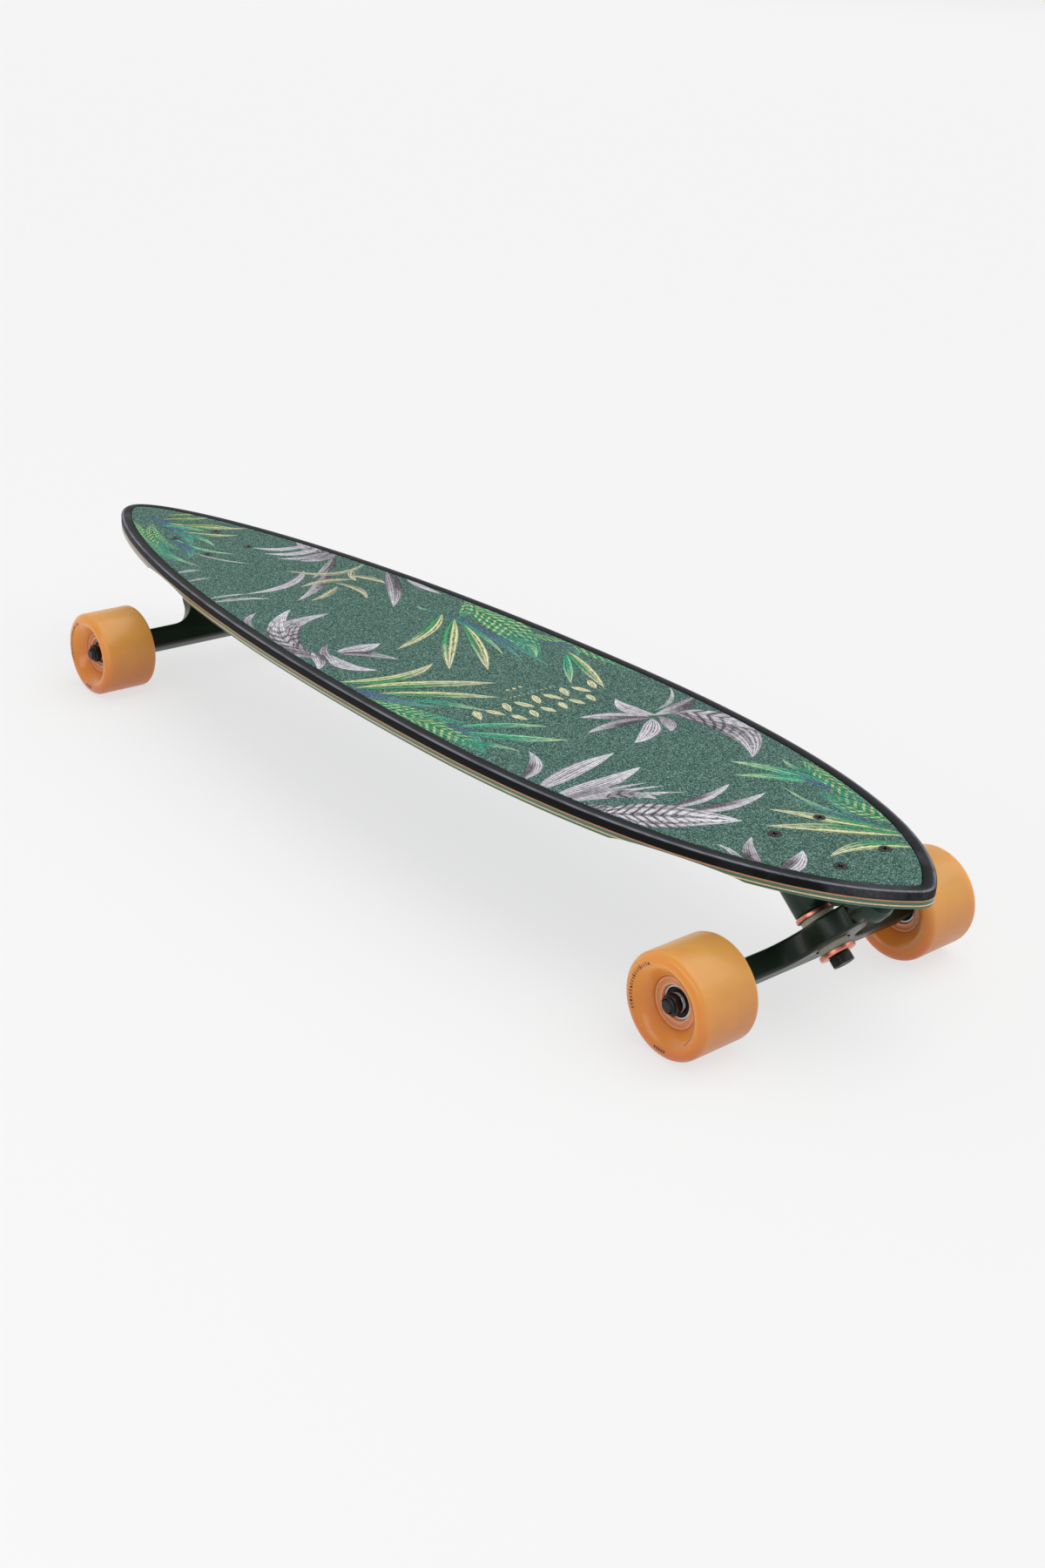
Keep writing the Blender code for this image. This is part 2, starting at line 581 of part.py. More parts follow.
def build_wheels(axles, parts):
    amber = material("wheel_urethane", (0.80, 0.36, 0.08), 0.2)
    steel = material("bearing_steel", (0.6, 0.6, 0.61), 0.25, 1.0)
    black = material("axle_nut", (0.02, 0.02, 0.022), 0.35, 0.5)
    wheel = turned("wheel", wheel_profile(), WHEEL_FACETS, math.pi / WHEEL_FACETS, SIDE_ON)
    bearing = turned("bearing", [
        (BEARING_RADIUS - 0.0004, BEARING_WIDTH / 2), (BEARING_RADIUS, BEARING_WIDTH / 2 - 0.0004),
        (BEARING_RADIUS, 0.0004 - BEARING_WIDTH / 2), (BEARING_RADIUS - 0.0004, -BEARING_WIDTH / 2),
        (BEARING_BORE, -BEARING_WIDTH / 2), (BEARING_BORE, BEARING_WIDTH / 2)], 20, turn=SIDE_ON)
    spacer_half = BEARING_INSET - GAP
    spacer = turned("bearing_spacer", [
        (SPACER_RADIUS, spacer_half), (SPACER_RADIUS, -spacer_half),
        (BEARING_BORE, -spacer_half), (BEARING_BORE, spacer_half)], 16, turn=SIDE_ON)
    nut_low = WHEEL_CENTRE + BEARING_INSET + BEARING_WIDTH + WASHER_ROOM
    nut = hex_nut("axle_nut", AXLE_NUT[0], nut_low - WHEEL_CENTRE, nut_low - WHEEL_CENTRE + AXLE_NUT[1],
                  AXLE_RADIUS + GAP, Matrix.Rotation(math.radians(-90.0), 4, 'X'))
    for end, sign in (("front", 1), ("rear", -1)):
        for side, direction in (("left", 1), ("right", -1)):
            own_side = direction * sign
            name = f"{end}_{side}"
            outward = Matrix.Rotation(0.0 if own_side > 0 else math.pi, 4, 'Z')
            hub = add_empty(f"{name}_hub", parts, axles[end],
                            Matrix.Translation((0.0, own_side * WHEEL_CENTRE, 0.0)) @ outward)
            add_object(f"{name}_wheel", wheel, parts, hub, finish=amber)
            inset = BEARING_INSET + BEARING_WIDTH / 2
            for where, shift in (("inner", -inset), ("outer", inset)):
                add_object(f"{name}_{where}_bearing", bearing, parts, hub,
                           Matrix.Translation((0.0, shift, 0.0)), steel)
            add_object(f"{name}_bearing_spacer", spacer, parts, hub, finish=steel)
            add_object(f"{name}_axle_nut", nut, parts, hub, finish=black)


def build_deck_bolts(parts, cutters):
    black = material("bolt_black", (0.02, 0.02, 0.022), 0.35, 0.5)
    top = DECK_TOP - BOLT_SINK
    bolt = turned("deck_bolt", [
        (0.0, top), (BOLT_HEAD_RADIUS, top), (BOLT_HEAD_RADIUS, top - 0.0003),
        (BOLT_RADIUS, top - 0.0003 - (BOLT_HEAD_HEIGHT - 0.0003)), (BOLT_RADIUS, top - BOLT_LENGTH),
        (0.0, top - BOLT_LENGTH)], 14)
    blank = add_object("bolt_blank", bolt, cutters)
    for number, turn in enumerate((0.0, math.pi / 2), 1):
        bm = bmesh.new()
        bmesh.ops.create_cube(bm, size=1.0)
        bmesh.ops.scale(bm, vec=(0.0048, 0.0009, 0.0030), verts=bm.verts)
        bmesh.ops.translate(bm, vec=(0.0, 0.0, top), verts=bm.verts)
        slot = add_object(f"driver_slot_{number}", mesh_from(bm, "driver_slot"), cutters,
                          place=Matrix.Rotation(turn, 4, 'Z'))
        cut(blank, slot)
    bpy.context.view_layer.update()
    bolt = evaluated_mesh(blank)
    bpy.data.objects.remove(blank)
    nut_top = PLATE_BOTTOM - GAP
    nut = hex_nut("lock_nut", LOCK_NUT[0], nut_top - LOCK_NUT[1], nut_top, BOLT_RADIUS + GAP)
    for end, number, (x, y) in bolt_places():
        place = Matrix.Translation((x, y, 0.0))
        add_object(f"{end}_deck_bolt_{number}", bolt, parts, place=place, finish=black)
        add_object(f"{end}_lock_nut_{number}", nut, parts, place=place, finish=black)


def main():
    clear_scene()
    parts = bpy.data.collections.new("skateboard")
    cutters = bpy.data.collections.new("cutters")
    for collection in (parts, cutters):
        bpy.context.scene.collection.children.link(collection)
    build_deck(parts, cutters)
    pieces = truck_meshes(cutters)
    axles = {end: build_truck(end, sign, pieces, parts) for end, sign in (("front", 1), ("rear", -1))}
    build_wheels(axles, parts)
    build_deck_bolts(parts, cutters)


main()
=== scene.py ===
"""Pintail skateboard with reverse-kingpin trucks: detailed visual model, studio and camera."""

from math import cos, pi, radians, sin, sqrt, tau

import bmesh
import bpy
from mathutils import Matrix, Vector


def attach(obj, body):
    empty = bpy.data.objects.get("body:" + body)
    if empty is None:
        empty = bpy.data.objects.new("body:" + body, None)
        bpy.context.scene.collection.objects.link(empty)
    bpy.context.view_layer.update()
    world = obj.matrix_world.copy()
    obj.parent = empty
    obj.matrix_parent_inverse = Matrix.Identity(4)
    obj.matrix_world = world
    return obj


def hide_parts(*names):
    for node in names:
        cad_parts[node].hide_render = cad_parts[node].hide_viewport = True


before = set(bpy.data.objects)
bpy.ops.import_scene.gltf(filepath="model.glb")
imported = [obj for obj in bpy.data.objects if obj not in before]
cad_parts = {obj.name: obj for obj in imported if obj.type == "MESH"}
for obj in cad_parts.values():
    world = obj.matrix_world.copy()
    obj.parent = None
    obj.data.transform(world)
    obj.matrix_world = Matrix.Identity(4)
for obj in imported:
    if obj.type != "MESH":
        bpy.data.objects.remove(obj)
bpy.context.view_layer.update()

# ---- dimensions, in metres
# X runs from tail to nose, Z up from the ground. An end's shape is the slope at its tip and the
# lengths of the two handles of the curve that leads to the widest point. The web is the plate of the
# hanger that both bushings press on, and the boss is the baseplate's, which holds the kingpin's head.

GAP = 0.0003
DECK_TOP = 0.1122
DECK_BOTTOM = 0.1007
RAIL_BOTTOM = DECK_TOP - 0.0055
RAIL_WIDTH = 0.009
GRIP_TOP = DECK_TOP - 0.00014
NOSE_LENGTH = 0.355
TAIL_LENGTH = 0.583
HALF_LENGTH = (NOSE_LENGTH + TAIL_LENGTH) / 2
HALF_WIDTH = 0.109
TIP_RADIUS = 0.013
NOSE_SHAPE = (radians(56.7), 0.0612, 0.1989)
TAIL_SHAPE = (radians(63.1), 0.0271, 0.3714)
WHEELBASE = 0.719
WHEELBASE_MIDDLE = 0.030
ENDS = (("front", 1), ("rear", -1))
BOLT_SPACING = (0.0535, 0.0413)
BOLT_CORNERS = [(x * BOLT_SPACING[0] / 2, y * BOLT_SPACING[1] / 2) for x in (1, -1) for y in (1, -1)]
WELL_INSET = 0.0505
WELL_SIZE = (0.054, 0.034, 0.0062)
WELL_SINK = 0.0019

TILT = radians(50.0)
AXLE_INSET = 0.0062
AXLE_HEIGHT = 0.035
SEAT_OFFSET = 0.0204
PLATE_TOP = DECK_BOTTOM - GAP
PLATE_BOTTOM = PLATE_TOP - 0.008
WEB_HALF = 0.0015
BOSS_LOW = 0.0160
BOSS_HIGH = 0.0380
WASHER_SHEET = 0.0014
KINGPIN_HOLE = 0.0050
SCREW_HOLE = 0.0027
WHEEL_CENTRE = 0.10425
WHEEL_RADIUS = 0.035
WHEEL_HALF_WIDTH = 0.02425

STEER = Vector((cos(TILT), 0.0, sin(TILT)))
AXLE_POINT = Vector((-AXLE_INSET, 0.0, AXLE_HEIGHT))
SEAT_POINT = AXLE_POINT + SEAT_OFFSET * STEER
SIDE_ON = Matrix.Rotation(radians(90.0), 4, 'X')
PIN_ON = Matrix.Rotation(radians(90.0), 4, 'Y')

scene = bpy.context.scene
model = bpy.data.collections.new("skateboard_visual")
scene.collection.children.link(model)


# ---- material helpers

def linear(colour):
    """A colour given as 0 to 255 display values, in linear light."""
    return tuple(((c / 255.0 + 0.055) / 1.055) ** 2.4 if c > 10 else c / 255.0 / 12.92 for c in colour)


class Shader:
    """One Principled material and short ways to add the nodes that feed it."""

    def __init__(self, name, colour=(128, 128, 128), roughness=0.5, metallic=0.0, **sockets):
        self.mat = bpy.data.materials.new(name)
        self.mat.use_nodes = True
        self.tree = self.mat.node_tree
        self.out = self.tree.nodes["Principled BSDF"]
        self.feed(self.out.inputs["Base Color"], colour)
        sockets.update(Roughness=roughness, Metallic=metallic)
        for socket, value in sockets.items():
            self.out.inputs[socket.replace("_", " ")].default_value = value
        self.object_coords = None

    def add(self, kind):
        return self.tree.nodes.new("ShaderNode" + kind)

    def feed(self, socket, value):
        """Link a socket, or give it a number, or a colour in 0 to 255 display values."""
        if isinstance(value, bpy.types.NodeSocket):
            self.tree.links.new(value, socket)
        else:
            socket.default_value = (*linear(value), 1.0) if isinstance(value, tuple) else value

    def coords(self, scale=(1.0, 1.0, 1.0)):
        if self.object_coords is None:
            self.object_coords = self.add("TexCoord").outputs["Object"]
        if scale == (1.0, 1.0, 1.0):
            return self.object_coords
        mapping = self.add("Mapping")
        mapping.inputs["Scale"].default_value = scale
        self.feed(mapping.inputs["Vector"], self.object_coords)
        return mapping.outputs["Vector"]

    def noise(self, scale, detail=2.0, roughness=0.5, stretch=(1.0, 1.0, 1.0), distortion=0.0):
        node = self.add("TexNoise")
        for socket, value in (("Scale", scale), ("Detail", detail), ("Roughness", roughness),
                              ("Distortion", distortion), ("Vector", self.coords(stretch))):
            self.feed(node.inputs[socket], value)
        return node.outputs["Fac"]

    def cells(self, scale):
        node = self.add("TexVoronoi")
        self.feed(node.inputs["Scale"], scale)
        self.feed(node.inputs["Vector"], self.coords())
        return node.outputs["Color"]

    def math(self, operation, *values):
        node = self.add("Math")
        node.operation = operation
        for socket, value in zip(node.inputs, values):
            self.feed(socket, value)
        return node.outputs[0]

    def plus(self, a, b):
        return self.math('ADD', a, b)

    def times(self, a, b):
        return self.math('MULTIPLY', a, b)

    def scaled(self, value, factor, offset):
        return self.math('MULTIPLY_ADD', value, factor, offset)

    def ramp(self, value, *stops):
        """Stops are (position, grey) or (position, (r, g, b)) in display values."""
        node = self.add("ValToRGB")
        self.feed(node.inputs[0], value)
        elements = node.color_ramp.elements
        while len(elements) < len(stops):
            elements.new(0.5)
        for element, (position, colour) in zip(elements, stops):
            element.position = position
            shade = linear(colour) if isinstance(colour, tuple) else (colour, colour, colour)
            element.color = (*shade, 1.0)
        return node.outputs["Color"]

    def mix(self, factor, a, b, blend='MIX'):
        node = self.add("Mix")
        node.data_type = 'RGBA'
        node.blend_type = blend
        self.feed(node.inputs[0], factor)
        self.feed(node.inputs[6], a)
        self.feed(node.inputs[7], b)
        return node.outputs[2]

    def tinted(self, a, b):
        return self.mix(1.0, a, b, 'MULTIPLY')

    def attribute(self, name, output="Vector"):
        node = self.add("Attribute")
        node.attribute_name = name
        return node.outputs[output]

    def split(self, vector):
        node = self.add("SeparateXYZ")
        self.feed(node.inputs[0], vector)
        return node.outputs

    def set(self, socket, value):
        self.feed(self.out.inputs[socket], value)
        return self

    def bump(self, height, strength, distance):
        node = self.add("Bump")
        for socket, value in (("Strength", strength), ("Distance", distance), ("Height", height)):
            self.feed(node.inputs[socket], value)
        current = self.out.inputs["Normal"]
        if current.links:
            self.feed(node.inputs["Normal"], current.links[0].from_socket)
        self.feed(current, node.outputs["Normal"])
        return self


# ---- mesh helpers

def at(x, y, z):
    return Matrix.Translation((x, y, z))


def quarter_turn(steps):
    """Sine and cosine of angles from 0 to 90 degrees."""
    return [(sin(k / steps * pi / 2), cos(k / steps * pi / 2)) for k in range(steps + 1)]


def mirrored(section):
    """A section's upper half, (radius, height), followed by the same half upside down."""
    return section + [(radius, -height) for radius, height in reversed(section)]


def add_object(name, data):
    obj = bpy.data.objects.new(name, data)
    scene.collection.objects.link(obj)
    return obj


def mesh_from(bm, name, sharp=35.0):
    bmesh.ops.recalc_face_normals(bm, faces=bm.faces)
    mesh = bpy.data.meshes.new(name)
    bm.to_mesh(mesh)
    bm.free()
    mesh.shade_smooth()
    mesh.set_sharp_from_angle(angle=radians(sharp))
    return mesh


def turned(name, profile, steps=64, turn=Matrix(), sharp=35.0):
    """Turn (radius, height) points about Z. Points on the axis become one vertex each.
    A profile that starts off the axis is closed from its last point to its first."""
    bm = bmesh.new()
    rings = []
    for radius, height in profile:
        corners = steps if radius else 1
        rings.append([bm.verts.new((radius * cos(tau * k / steps), radius * sin(tau * k / steps), height))
                      for k in range(corners)])
    pairs = list(zip(rings, rings[1:]))
    if len(rings[0]) > 1:
        pairs.append((rings[-1], rings[0]))
    for low, high in pairs:
        for k in range(steps):
            after = (k + 1) % steps
            if len(low) == 1 and len(high) == 1:
                continue
            if len(low) == 1:
                bm.faces.new((low[0], high[after], high[k]))
            elif len(high) == 1:
                bm.faces.new((low[k], low[after], high[0]))
            else:
                bm.faces.new((low[k], low[after], high[after], high[k]))
    bmesh.ops.transform(bm, matrix=turn, verts=bm.verts)
    return mesh_from(bm, name, sharp)


def rod(name, radius, low, high, steps=64, turn=Matrix()):
    return turned(name, [(0.0, high), (radius, high), (radius, low), (0.0, low)], steps, turn)


def prism(name, outline, low, high, bevel=0.0, segments=5):
    """An outline in XY extruded along Z, with its rims rounded."""
    bm = bmesh.new()
    base = bm.faces.new([bm.verts.new((x, y, low)) for x, y in outline])
    extruded = bmesh.ops.extrude_face_region(bm, geom=[base])
    moved = [item for item in extruded["geom"] if isinstance(item, bmesh.types.BMVert)]
    bmesh.ops.translate(bm, verts=moved, vec=(0.0, 0.0, high - low))
    if bevel:
        rims = [edge for edge in bm.edges if abs(edge.verts[0].co.z - edge.verts[1].co.z) < 1e-6]
        bmesh.ops.bevel(bm, geom=rims, offset=bevel, segments=segments, profile=0.5, affect='EDGES')
    return mesh_from(bm, name)


def combined(name, base, steps, bevel=0.0, sharp=35.0):
    """base with other meshes joined, cut or kept in common, in order: (operation, mesh, place)."""
    body = add_object(name, base)
    tools = []
    for operation, mesh, place in steps:
        tool = add_object(name + "_tool", mesh)
        tool.matrix_world = place
        tools.append(tool)
        boolean = body.modifiers.new("shape", 'BOOLEAN')
        boolean.operation = operation
        boolean.solver = 'EXACT'
        boolean.object = tool
    if bevel:
        round_off = body.modifiers.new("round", 'BEVEL')
        round_off.width = bevel
        round_off.segments = 3
        round_off.limit_method = 'ANGLE'
        round_off.angle_limit = radians(40.0)
        round_off.use_clamp_overlap = True
    bpy.context.view_layer.update()
    graph = bpy.context.evaluated_depsgraph_get()
    mesh = bpy.data.meshes.new_from_object(body.evaluated_get(graph))
    mesh.name = name
    for obj in [body, *tools]:
        bpy.data.objects.remove(obj)
    mesh.shade_smooth()
    mesh.set_sharp_from_angle(angle=radians(sharp))
    return mesh


def piece(name, mesh, body, shader, place=Matrix(), replaces=()):
    """Put a mesh in the model, on the CAD body that it moves with."""
    obj = bpy.data.objects.new(name, mesh)
    model.objects.link(obj)
    obj.matrix_world = place
    if not mesh.materials:
        mesh.materials.append(shader.mat)
    bpy.context.view_layer.update()
    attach(obj, body)
    if replaces:
        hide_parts(*replaces)


# ---- materials

def make_wood():
    """Stained veneers seen on the deck's edge and in the wheel wells: layers by height, grain along X."""
    s = Shader("stained_plies", roughness=0.38, Coat_Weight=0.35, Coat_Roughness=0.18)
    height = s.split(s.coords())[2]
    wobble = s.times(s.math('SUBTRACT', s.noise(18.0, 2.0), 0.5), 0.0004)
    layer = s.math('DIVIDE', s.math('SUBTRACT', s.plus(height, wobble), DECK_BOTTOM), 0.0060)
    green, natural, dark, warm = (62, 108, 84), (214, 192, 152), (44, 84, 64), (196, 124, 74)
    stripes = s.ramp(layer, (0.0, green), (0.30, dark), (0.335, natural), (0.455, natural), (0.475, dark),
                     (0.62, green), (0.79, dark), (0.81, warm), (0.93, warm), (0.955, dark))
    grain = s.noise(900.0, 3.0, 0.6, stretch=(0.03, 1.0, 1.0))
    coarse = s.noise(70.0, 3.0, 0.55, stretch=(0.06, 1.0, 2.0))
    shade = s.ramp(grain, (0.30, 0.72), (0.62, 1.0), (0.85, 1.12))
    tone = s.ramp(coarse, (0.3, 0.84), (0.7, 1.08))
    s.set("Base Color", s.tinted(s.tinted(stripes, shade), tone))
    s.set("Roughness", s.scaled(grain, 0.25, 0.26))
    return s.bump(grain, 0.35, 0.00012)


def make_rail():
    """Satin black moulding, with lighter grey patches on its top near both tips and a painted grey highlight
    along its outer edge.
    """
    s = Shader("edge_moulding_black", (14, 14, 16), 0.33, Specular_IOR_Level=0.08)
    highlight_band = s.attribute("highlight_band", "Fac")
    scratch = s.noise(700.0, 4.0, 0.6, stretch=(0.05, 1.0, 1.0))
    patch = s.noise(26.0, 4.0, 0.6)
    along = s.math('ABSOLUTE', s.split(s.coords())[0])
    tips = s.times(s.ramp(along, (0.36, 0.0), (0.47, 0.42)), s.ramp(patch, (0.45, 0.0), (0.62, 1.0)))
    # Painted highlight: a grey line along the outer edge's round, broken by scratches.
    line = s.times(highlight_band, s.ramp(s.times(scratch, patch), (0.12, 0.35), (0.30, 1.0)))
    grey_patches_and_highlight = s.math('MAXIMUM', line, s.times(tips, scratch))
    fine = s.noise(2600.0, 2.0)
    # The grey is the tip patches and the painted highlight line together.
    s.set("Base Color", s.mix(grey_patches_and_highlight, s.mix(fine, (7, 7, 9), (18, 18, 20)),
                              (128, 131, 140)))
    s.set("Roughness", s.scaled(scratch, 0.30, 0.34))
    s.bump(scratch, 0.25, 0.00008)
    return s.bump(fine, 0.12, 0.00005)


def grit_speckle(s):
    """Crushed grit: a grain value, high on raised grains and low in the hollows between them, and their
    height.
    """
    grains = s.cells(1500.0)
    fine = s.cells(3200.0)
    value = s.scaled(s.split(grains)[0], 0.62, s.times(s.split(fine)[1], 0.38))
    height = s.plus(value, s.noise(1800.0, 3.0, 0.7))
    return value, height


def make_grip():
    """Green grit sheet, with painted glints on its raised grains and painted shade in the hollows between
    them.
    """
    s = Shader("grip_grit", (66, 108, 92), 0.86, Specular_IOR_Level=0.35)
    value, height = grit_speckle(s)
    broad = s.noise(7.0, 3.0)
    base = s.mix(broad, (38, 80, 70), (48, 91, 80))
    # Painted glints: pale specks on the raised grains.
    glint_specks = s.mix(s.ramp(value, (0.60, 0.0), (0.90, 1.0)), base, (150, 186, 172))
    # Painted shade: dark specks in the hollows between grains.
    hollow_shade = s.mix(s.ramp(value, (0.12, 1.0), (0.42, 0.0)), glint_specks, (22, 44, 38))
    s.set("Base Color", hollow_shade)
    s.set("Roughness", s.ramp(value, (0.2, 0.95), (0.9, 0.6)))
    return s.bump(height, 0.55, 0.00025)


def make_print():
    """Leaf print on the grit. Each leaf has its own colours, its place along and across, and its veins."""
    s = Shader("grip_print", (120, 120, 120), 0.8, Specular_IOR_Level=0.35)
    along, across, seed = s.split(s.attribute("leaf"))[:3]
    cross_count, line_count, split_side = s.split(s.attribute("veins"))[:3]
    main = s.attribute("leaf_main", "Color")
    accent = s.attribute("leaf_accent", "Color")
    tip = s.attribute("leaf_tip", "Color")
    side = s.math('ABSOLUTE', across)
    paint = s.noise(150.0, 4.0, 0.65, distortion=0.6)
    slant = s.math('SUBTRACT', along, s.times(side, 0.12))
    phase = s.plus(s.times(slant, cross_count), s.times(paint, 0.5))
    bands = s.scaled(s.math('SINE', s.times(phase, tau)), 0.5, 0.5)
    has_bands = s.math('MINIMUM', cross_count, 1.0)
    halves = s.ramp(s.scaled(across, 0.5, 0.5), (0.46, 0.0), (0.60, 1.0))
    on_side = s.times(halves, split_side)
    amount = s.math('MAXIMUM', s.times(s.ramp(bands, (0.56, 0.0), (0.82, 1.0)), has_bands), on_side)
    colour = s.mix(amount, main, accent)
    to_tip = s.ramp(s.plus(along, s.scaled(paint, 0.4, -0.2)), (0.45, 0.0), (0.95, 1.0))
    colour = s.mix(to_tip, colour, tip)
    flow = s.scaled(across, s.times(line_count, 1.6), s.plus(seed, paint))
    ink = s.math('SINE', s.times(flow, tau))
    ink = s.times(s.ramp(s.scaled(ink, 0.5, 0.5), (0.42, 0.0), (0.86, 1.0)),
                 s.ramp(s.noise(260.0, 3.0, 0.6), (0.32, 0.3), (0.60, 1.0)))
    rib = s.ramp(side, (0.0, 0.9), (0.12, 0.0))
    rim = s.ramp(side, (0.80, 0.0), (0.96, 0.75))
    dark = s.tinted(colour, (84, 86, 106))
    colour = s.mix(s.math('MAXIMUM', ink, rib), colour, dark)
    colour = s.mix(rim, colour, dark)
    colour = s.tinted(colour, s.ramp(paint, (0.25, 0.78), (0.5, 1.0), (0.8, 1.2)))
    value, height = grit_speckle(s)
    # Painted glints on the raised grains and painted shade in the hollows, as on the plain grit.
    print_glint_and_shade = s.mix(s.ramp(value, (0.68, 0.0), (0.95, 0.45)), colour, (235, 236, 232))
    print_glint_and_shade = s.mix(s.ramp(value, (0.08, 0.55), (0.32, 0.0)), print_glint_and_shade, (30, 52, 46))
    s.set("Base Color", print_glint_and_shade)
    return s.bump(height, 0.5, 0.00025)


def make_truck_paint(name, dark, light):
    """Gloss powder coat, almost black green, over cast metal."""
    s = Shader(name, light, 0.28, Coat_Weight=0.12, Coat_Roughness=0.12,
               Specular_IOR_Level=0.20)
    peel = s.noise(420.0, 2.0, 0.5)
    broad = s.noise(60.0, 3.0)
    s.set("Base Color", s.mix(broad, dark, light))
    s.set("Roughness", s.scaled(s.noise(1100.0, 3.0), 0.22, 0.24))
    return s.bump(peel, 0.12, 0.00010)


def make_metal(name, light, dark, roughness, scale=500.0, metallic=1.0, **sockets):
    """Turned or plated metal with fine tool marks and uneven tone."""
    s = Shader(name, light, roughness, metallic, **sockets)
    marks = s.noise(scale, 3.0, 0.6, stretch=(1.0, 6.0, 1.0))
    tone = s.noise(scale * 0.22, 3.0)
    s.set("Base Color", s.mix(tone, dark, light))
    s.set("Roughness", s.scaled(marks, 0.25, roughness - 0.1))
    return s.bump(marks, 0.12, 0.00005)


def make_bushing():
    s = Shader("bushing_urethane", (178, 176, 162), 0.42, Subsurface_Weight=0.25,
               Subsurface_Scale=0.004)
    s.out.inputs["Subsurface Radius"].default_value = (1.0, 0.9, 0.8)
    cloud = s.noise(120.0, 3.0)
    s.set("Base Color", s.mix(cloud, (164, 164, 150), (196, 192, 176)))
    s.set("Roughness", s.scaled(cloud, 0.2, 0.34))
    return s.bump(s.noise(900.0, 2.0), 0.15, 0.00006)


def make_urethane(name, dish, face, tread, scale, clarity=0.0):
    """Cast amber urethane. Its lip is golden and its thick dish redder. Painted shade makes it darker and
    redder towards the bottom, standing in for light from above that deepens on its way down through it."""
    s = Shader(name, face, 0.24, Subsurface_Weight=0.85, Subsurface_Scale=scale,
               Specular_IOR_Level=0.4, Coat_Weight=0.3, Coat_Roughness=0.12)
    s.out.inputs["Subsurface Radius"].default_value = (1.0, 0.38, 0.10)
    s.out.inputs["Transmission Weight"].default_value = clarity
    x, y, z = s.split(s.coords())[:3]
    radius = s.math('SQRT', s.plus(s.times(x, x), s.times(z, z)))
    reach = s.math('DIVIDE', radius, WHEEL_RADIUS)
    cloud = s.noise(30.0, 3.0, 0.5, distortion=0.4)
    drift = s.scaled(cloud, 0.08, -0.04)
    tone = s.ramp(s.plus(reach, drift), (0.44, dish), (0.66, face), (0.90, face), (0.985, tread))
    tone = s.tinted(tone, s.ramp(cloud, (0.3, 0.94), (0.7, 1.04)))
    # Painted shade: darker and redder towards the bottom, most at the tread, by height above the ground.
    height = s.math('DIVIDE', s.split(s.add("NewGeometry").outputs["Position"])[2], 2 * WHEEL_RADIUS)
    depth = s.times(s.ramp(s.plus(height, drift), (0.0, 1.0), (0.35, 0.55), (0.80, 0.0)),
                   s.ramp(reach, (0.60, 0.1), (0.98, 1.0)))
    s.set("Base Color", s.mix(depth, tone, s.tinted(tone, (200, 128, 76))))
    fine = s.noise(1500.0, 3.0, 0.6)
    ground = s.ramp(reach, (0.975, 0.0), (0.998, 0.20))
    s.set("Roughness", s.plus(s.scaled(fine, 0.20, 0.14), ground))
    return s.bump(fine, 0.10, 0.00006)


WOOD = make_wood()
RAIL = make_rail()
GRIP = make_grip()
PRINT = make_print()
PAINT = make_truck_paint("truck_paint", (16, 26, 18), (28, 42, 30))
# The baseplate's colour is its dark green coat with a painted teal reflection of the deck's green underside
# mixed in, so it is lighter and more teal than the hanger.
BASEPLATE_PAINT_AND_REFLECTION = make_truck_paint("baseplate_paint_and_teal_reflection", (20, 36, 30), (36, 60, 50))
COPPER = make_metal("washer_copper", (232, 160, 138), (190, 112, 92), 0.30, 420.0)
STEEL = make_metal("ground_steel", (206, 206, 210), (160, 160, 166), 0.26, 600.0)
BLACK_STEEL = make_metal("black_oxide", (30, 30, 33), (13, 13, 15), 0.36, 600.0, 0.35)
SHIELD = make_metal("bearing_shield", (26, 22, 22), (12, 10, 10), 0.46, 500.0, 0.0, Specular_IOR_Level=0.2)
BUSHING = make_bushing()
CUP = make_bushing()
CUP.mat.name = "pivot_cup_urethane"
AMBER = make_urethane("wheel_urethane", (232, 142, 78), (214, 143, 45), (212, 154, 74), 0.020)
CORE = make_urethane("wheel_core", (232, 154, 108), (238, 170, 128), (238, 170, 128), 0.008, 0.10)
INK = make_metal("wheel_ink", (30, 24, 20), (16, 13, 11), 0.5, 500.0, 0.0)


# ---- deck

def cubic(points, t):
    a, b, c, d = points
    s = 1.0 - t
    return s ** 3 * a + 3 * s * s * t * b + 3 * s * t * t * c + t ** 3 * d


def cubic_slope(points, t):
    a, b, c, d = points
    s = 1.0 - t
    return 3 * s * s * (b - a) + 6 * s * t * (c - b) + 3 * t * t * (d - c)


def end_outline(length, shape, inset, steps):
    """One end from its tip to the widest point, as (distance from the tip, half width)."""
    angle, handle, shoulder = shape
    away = TIP_RADIUS - inset
    start = Vector((TIP_RADIUS, 0.0))
    widest = Vector((length, HALF_WIDTH - TIP_RADIUS))
    route = (start, start + handle * Vector((cos(angle), sin(angle))),
             widest - Vector((shoulder, 0.0)), widest)
    points = []
    arc_steps = 14
    for k in range(arc_steps):
        turn = pi - k / arc_steps * (pi / 2 - angle)
        points.append(start + away * Vector((cos(turn), sin(turn))))
    for k in range(steps + 1):
        t = (k / steps) ** 1.3
        slope = cubic_slope(route, t).normalized()
        points.append(cubic(route, t) + away * Vector((-slope.y, slope.x)))
    return points


def deck_side(inset):
    """The +Y half of the outline, nose first, as (x, y)."""
    nose = end_outline(NOSE_LENGTH, NOSE_SHAPE, inset, 60)
    tail = end_outline(TAIL_LENGTH, TAIL_SHAPE, inset, 80)
    side = [(HALF_LENGTH - p.x, p.y) for p in nose]
    return side + [(p.x - HALF_LENGTH, p.y) for p in reversed(tail[:-1])]


def deck_outline(inset):
    side = deck_side(inset)
    return side + [(x, -y) for x, y in reversed(side[1:-1])]


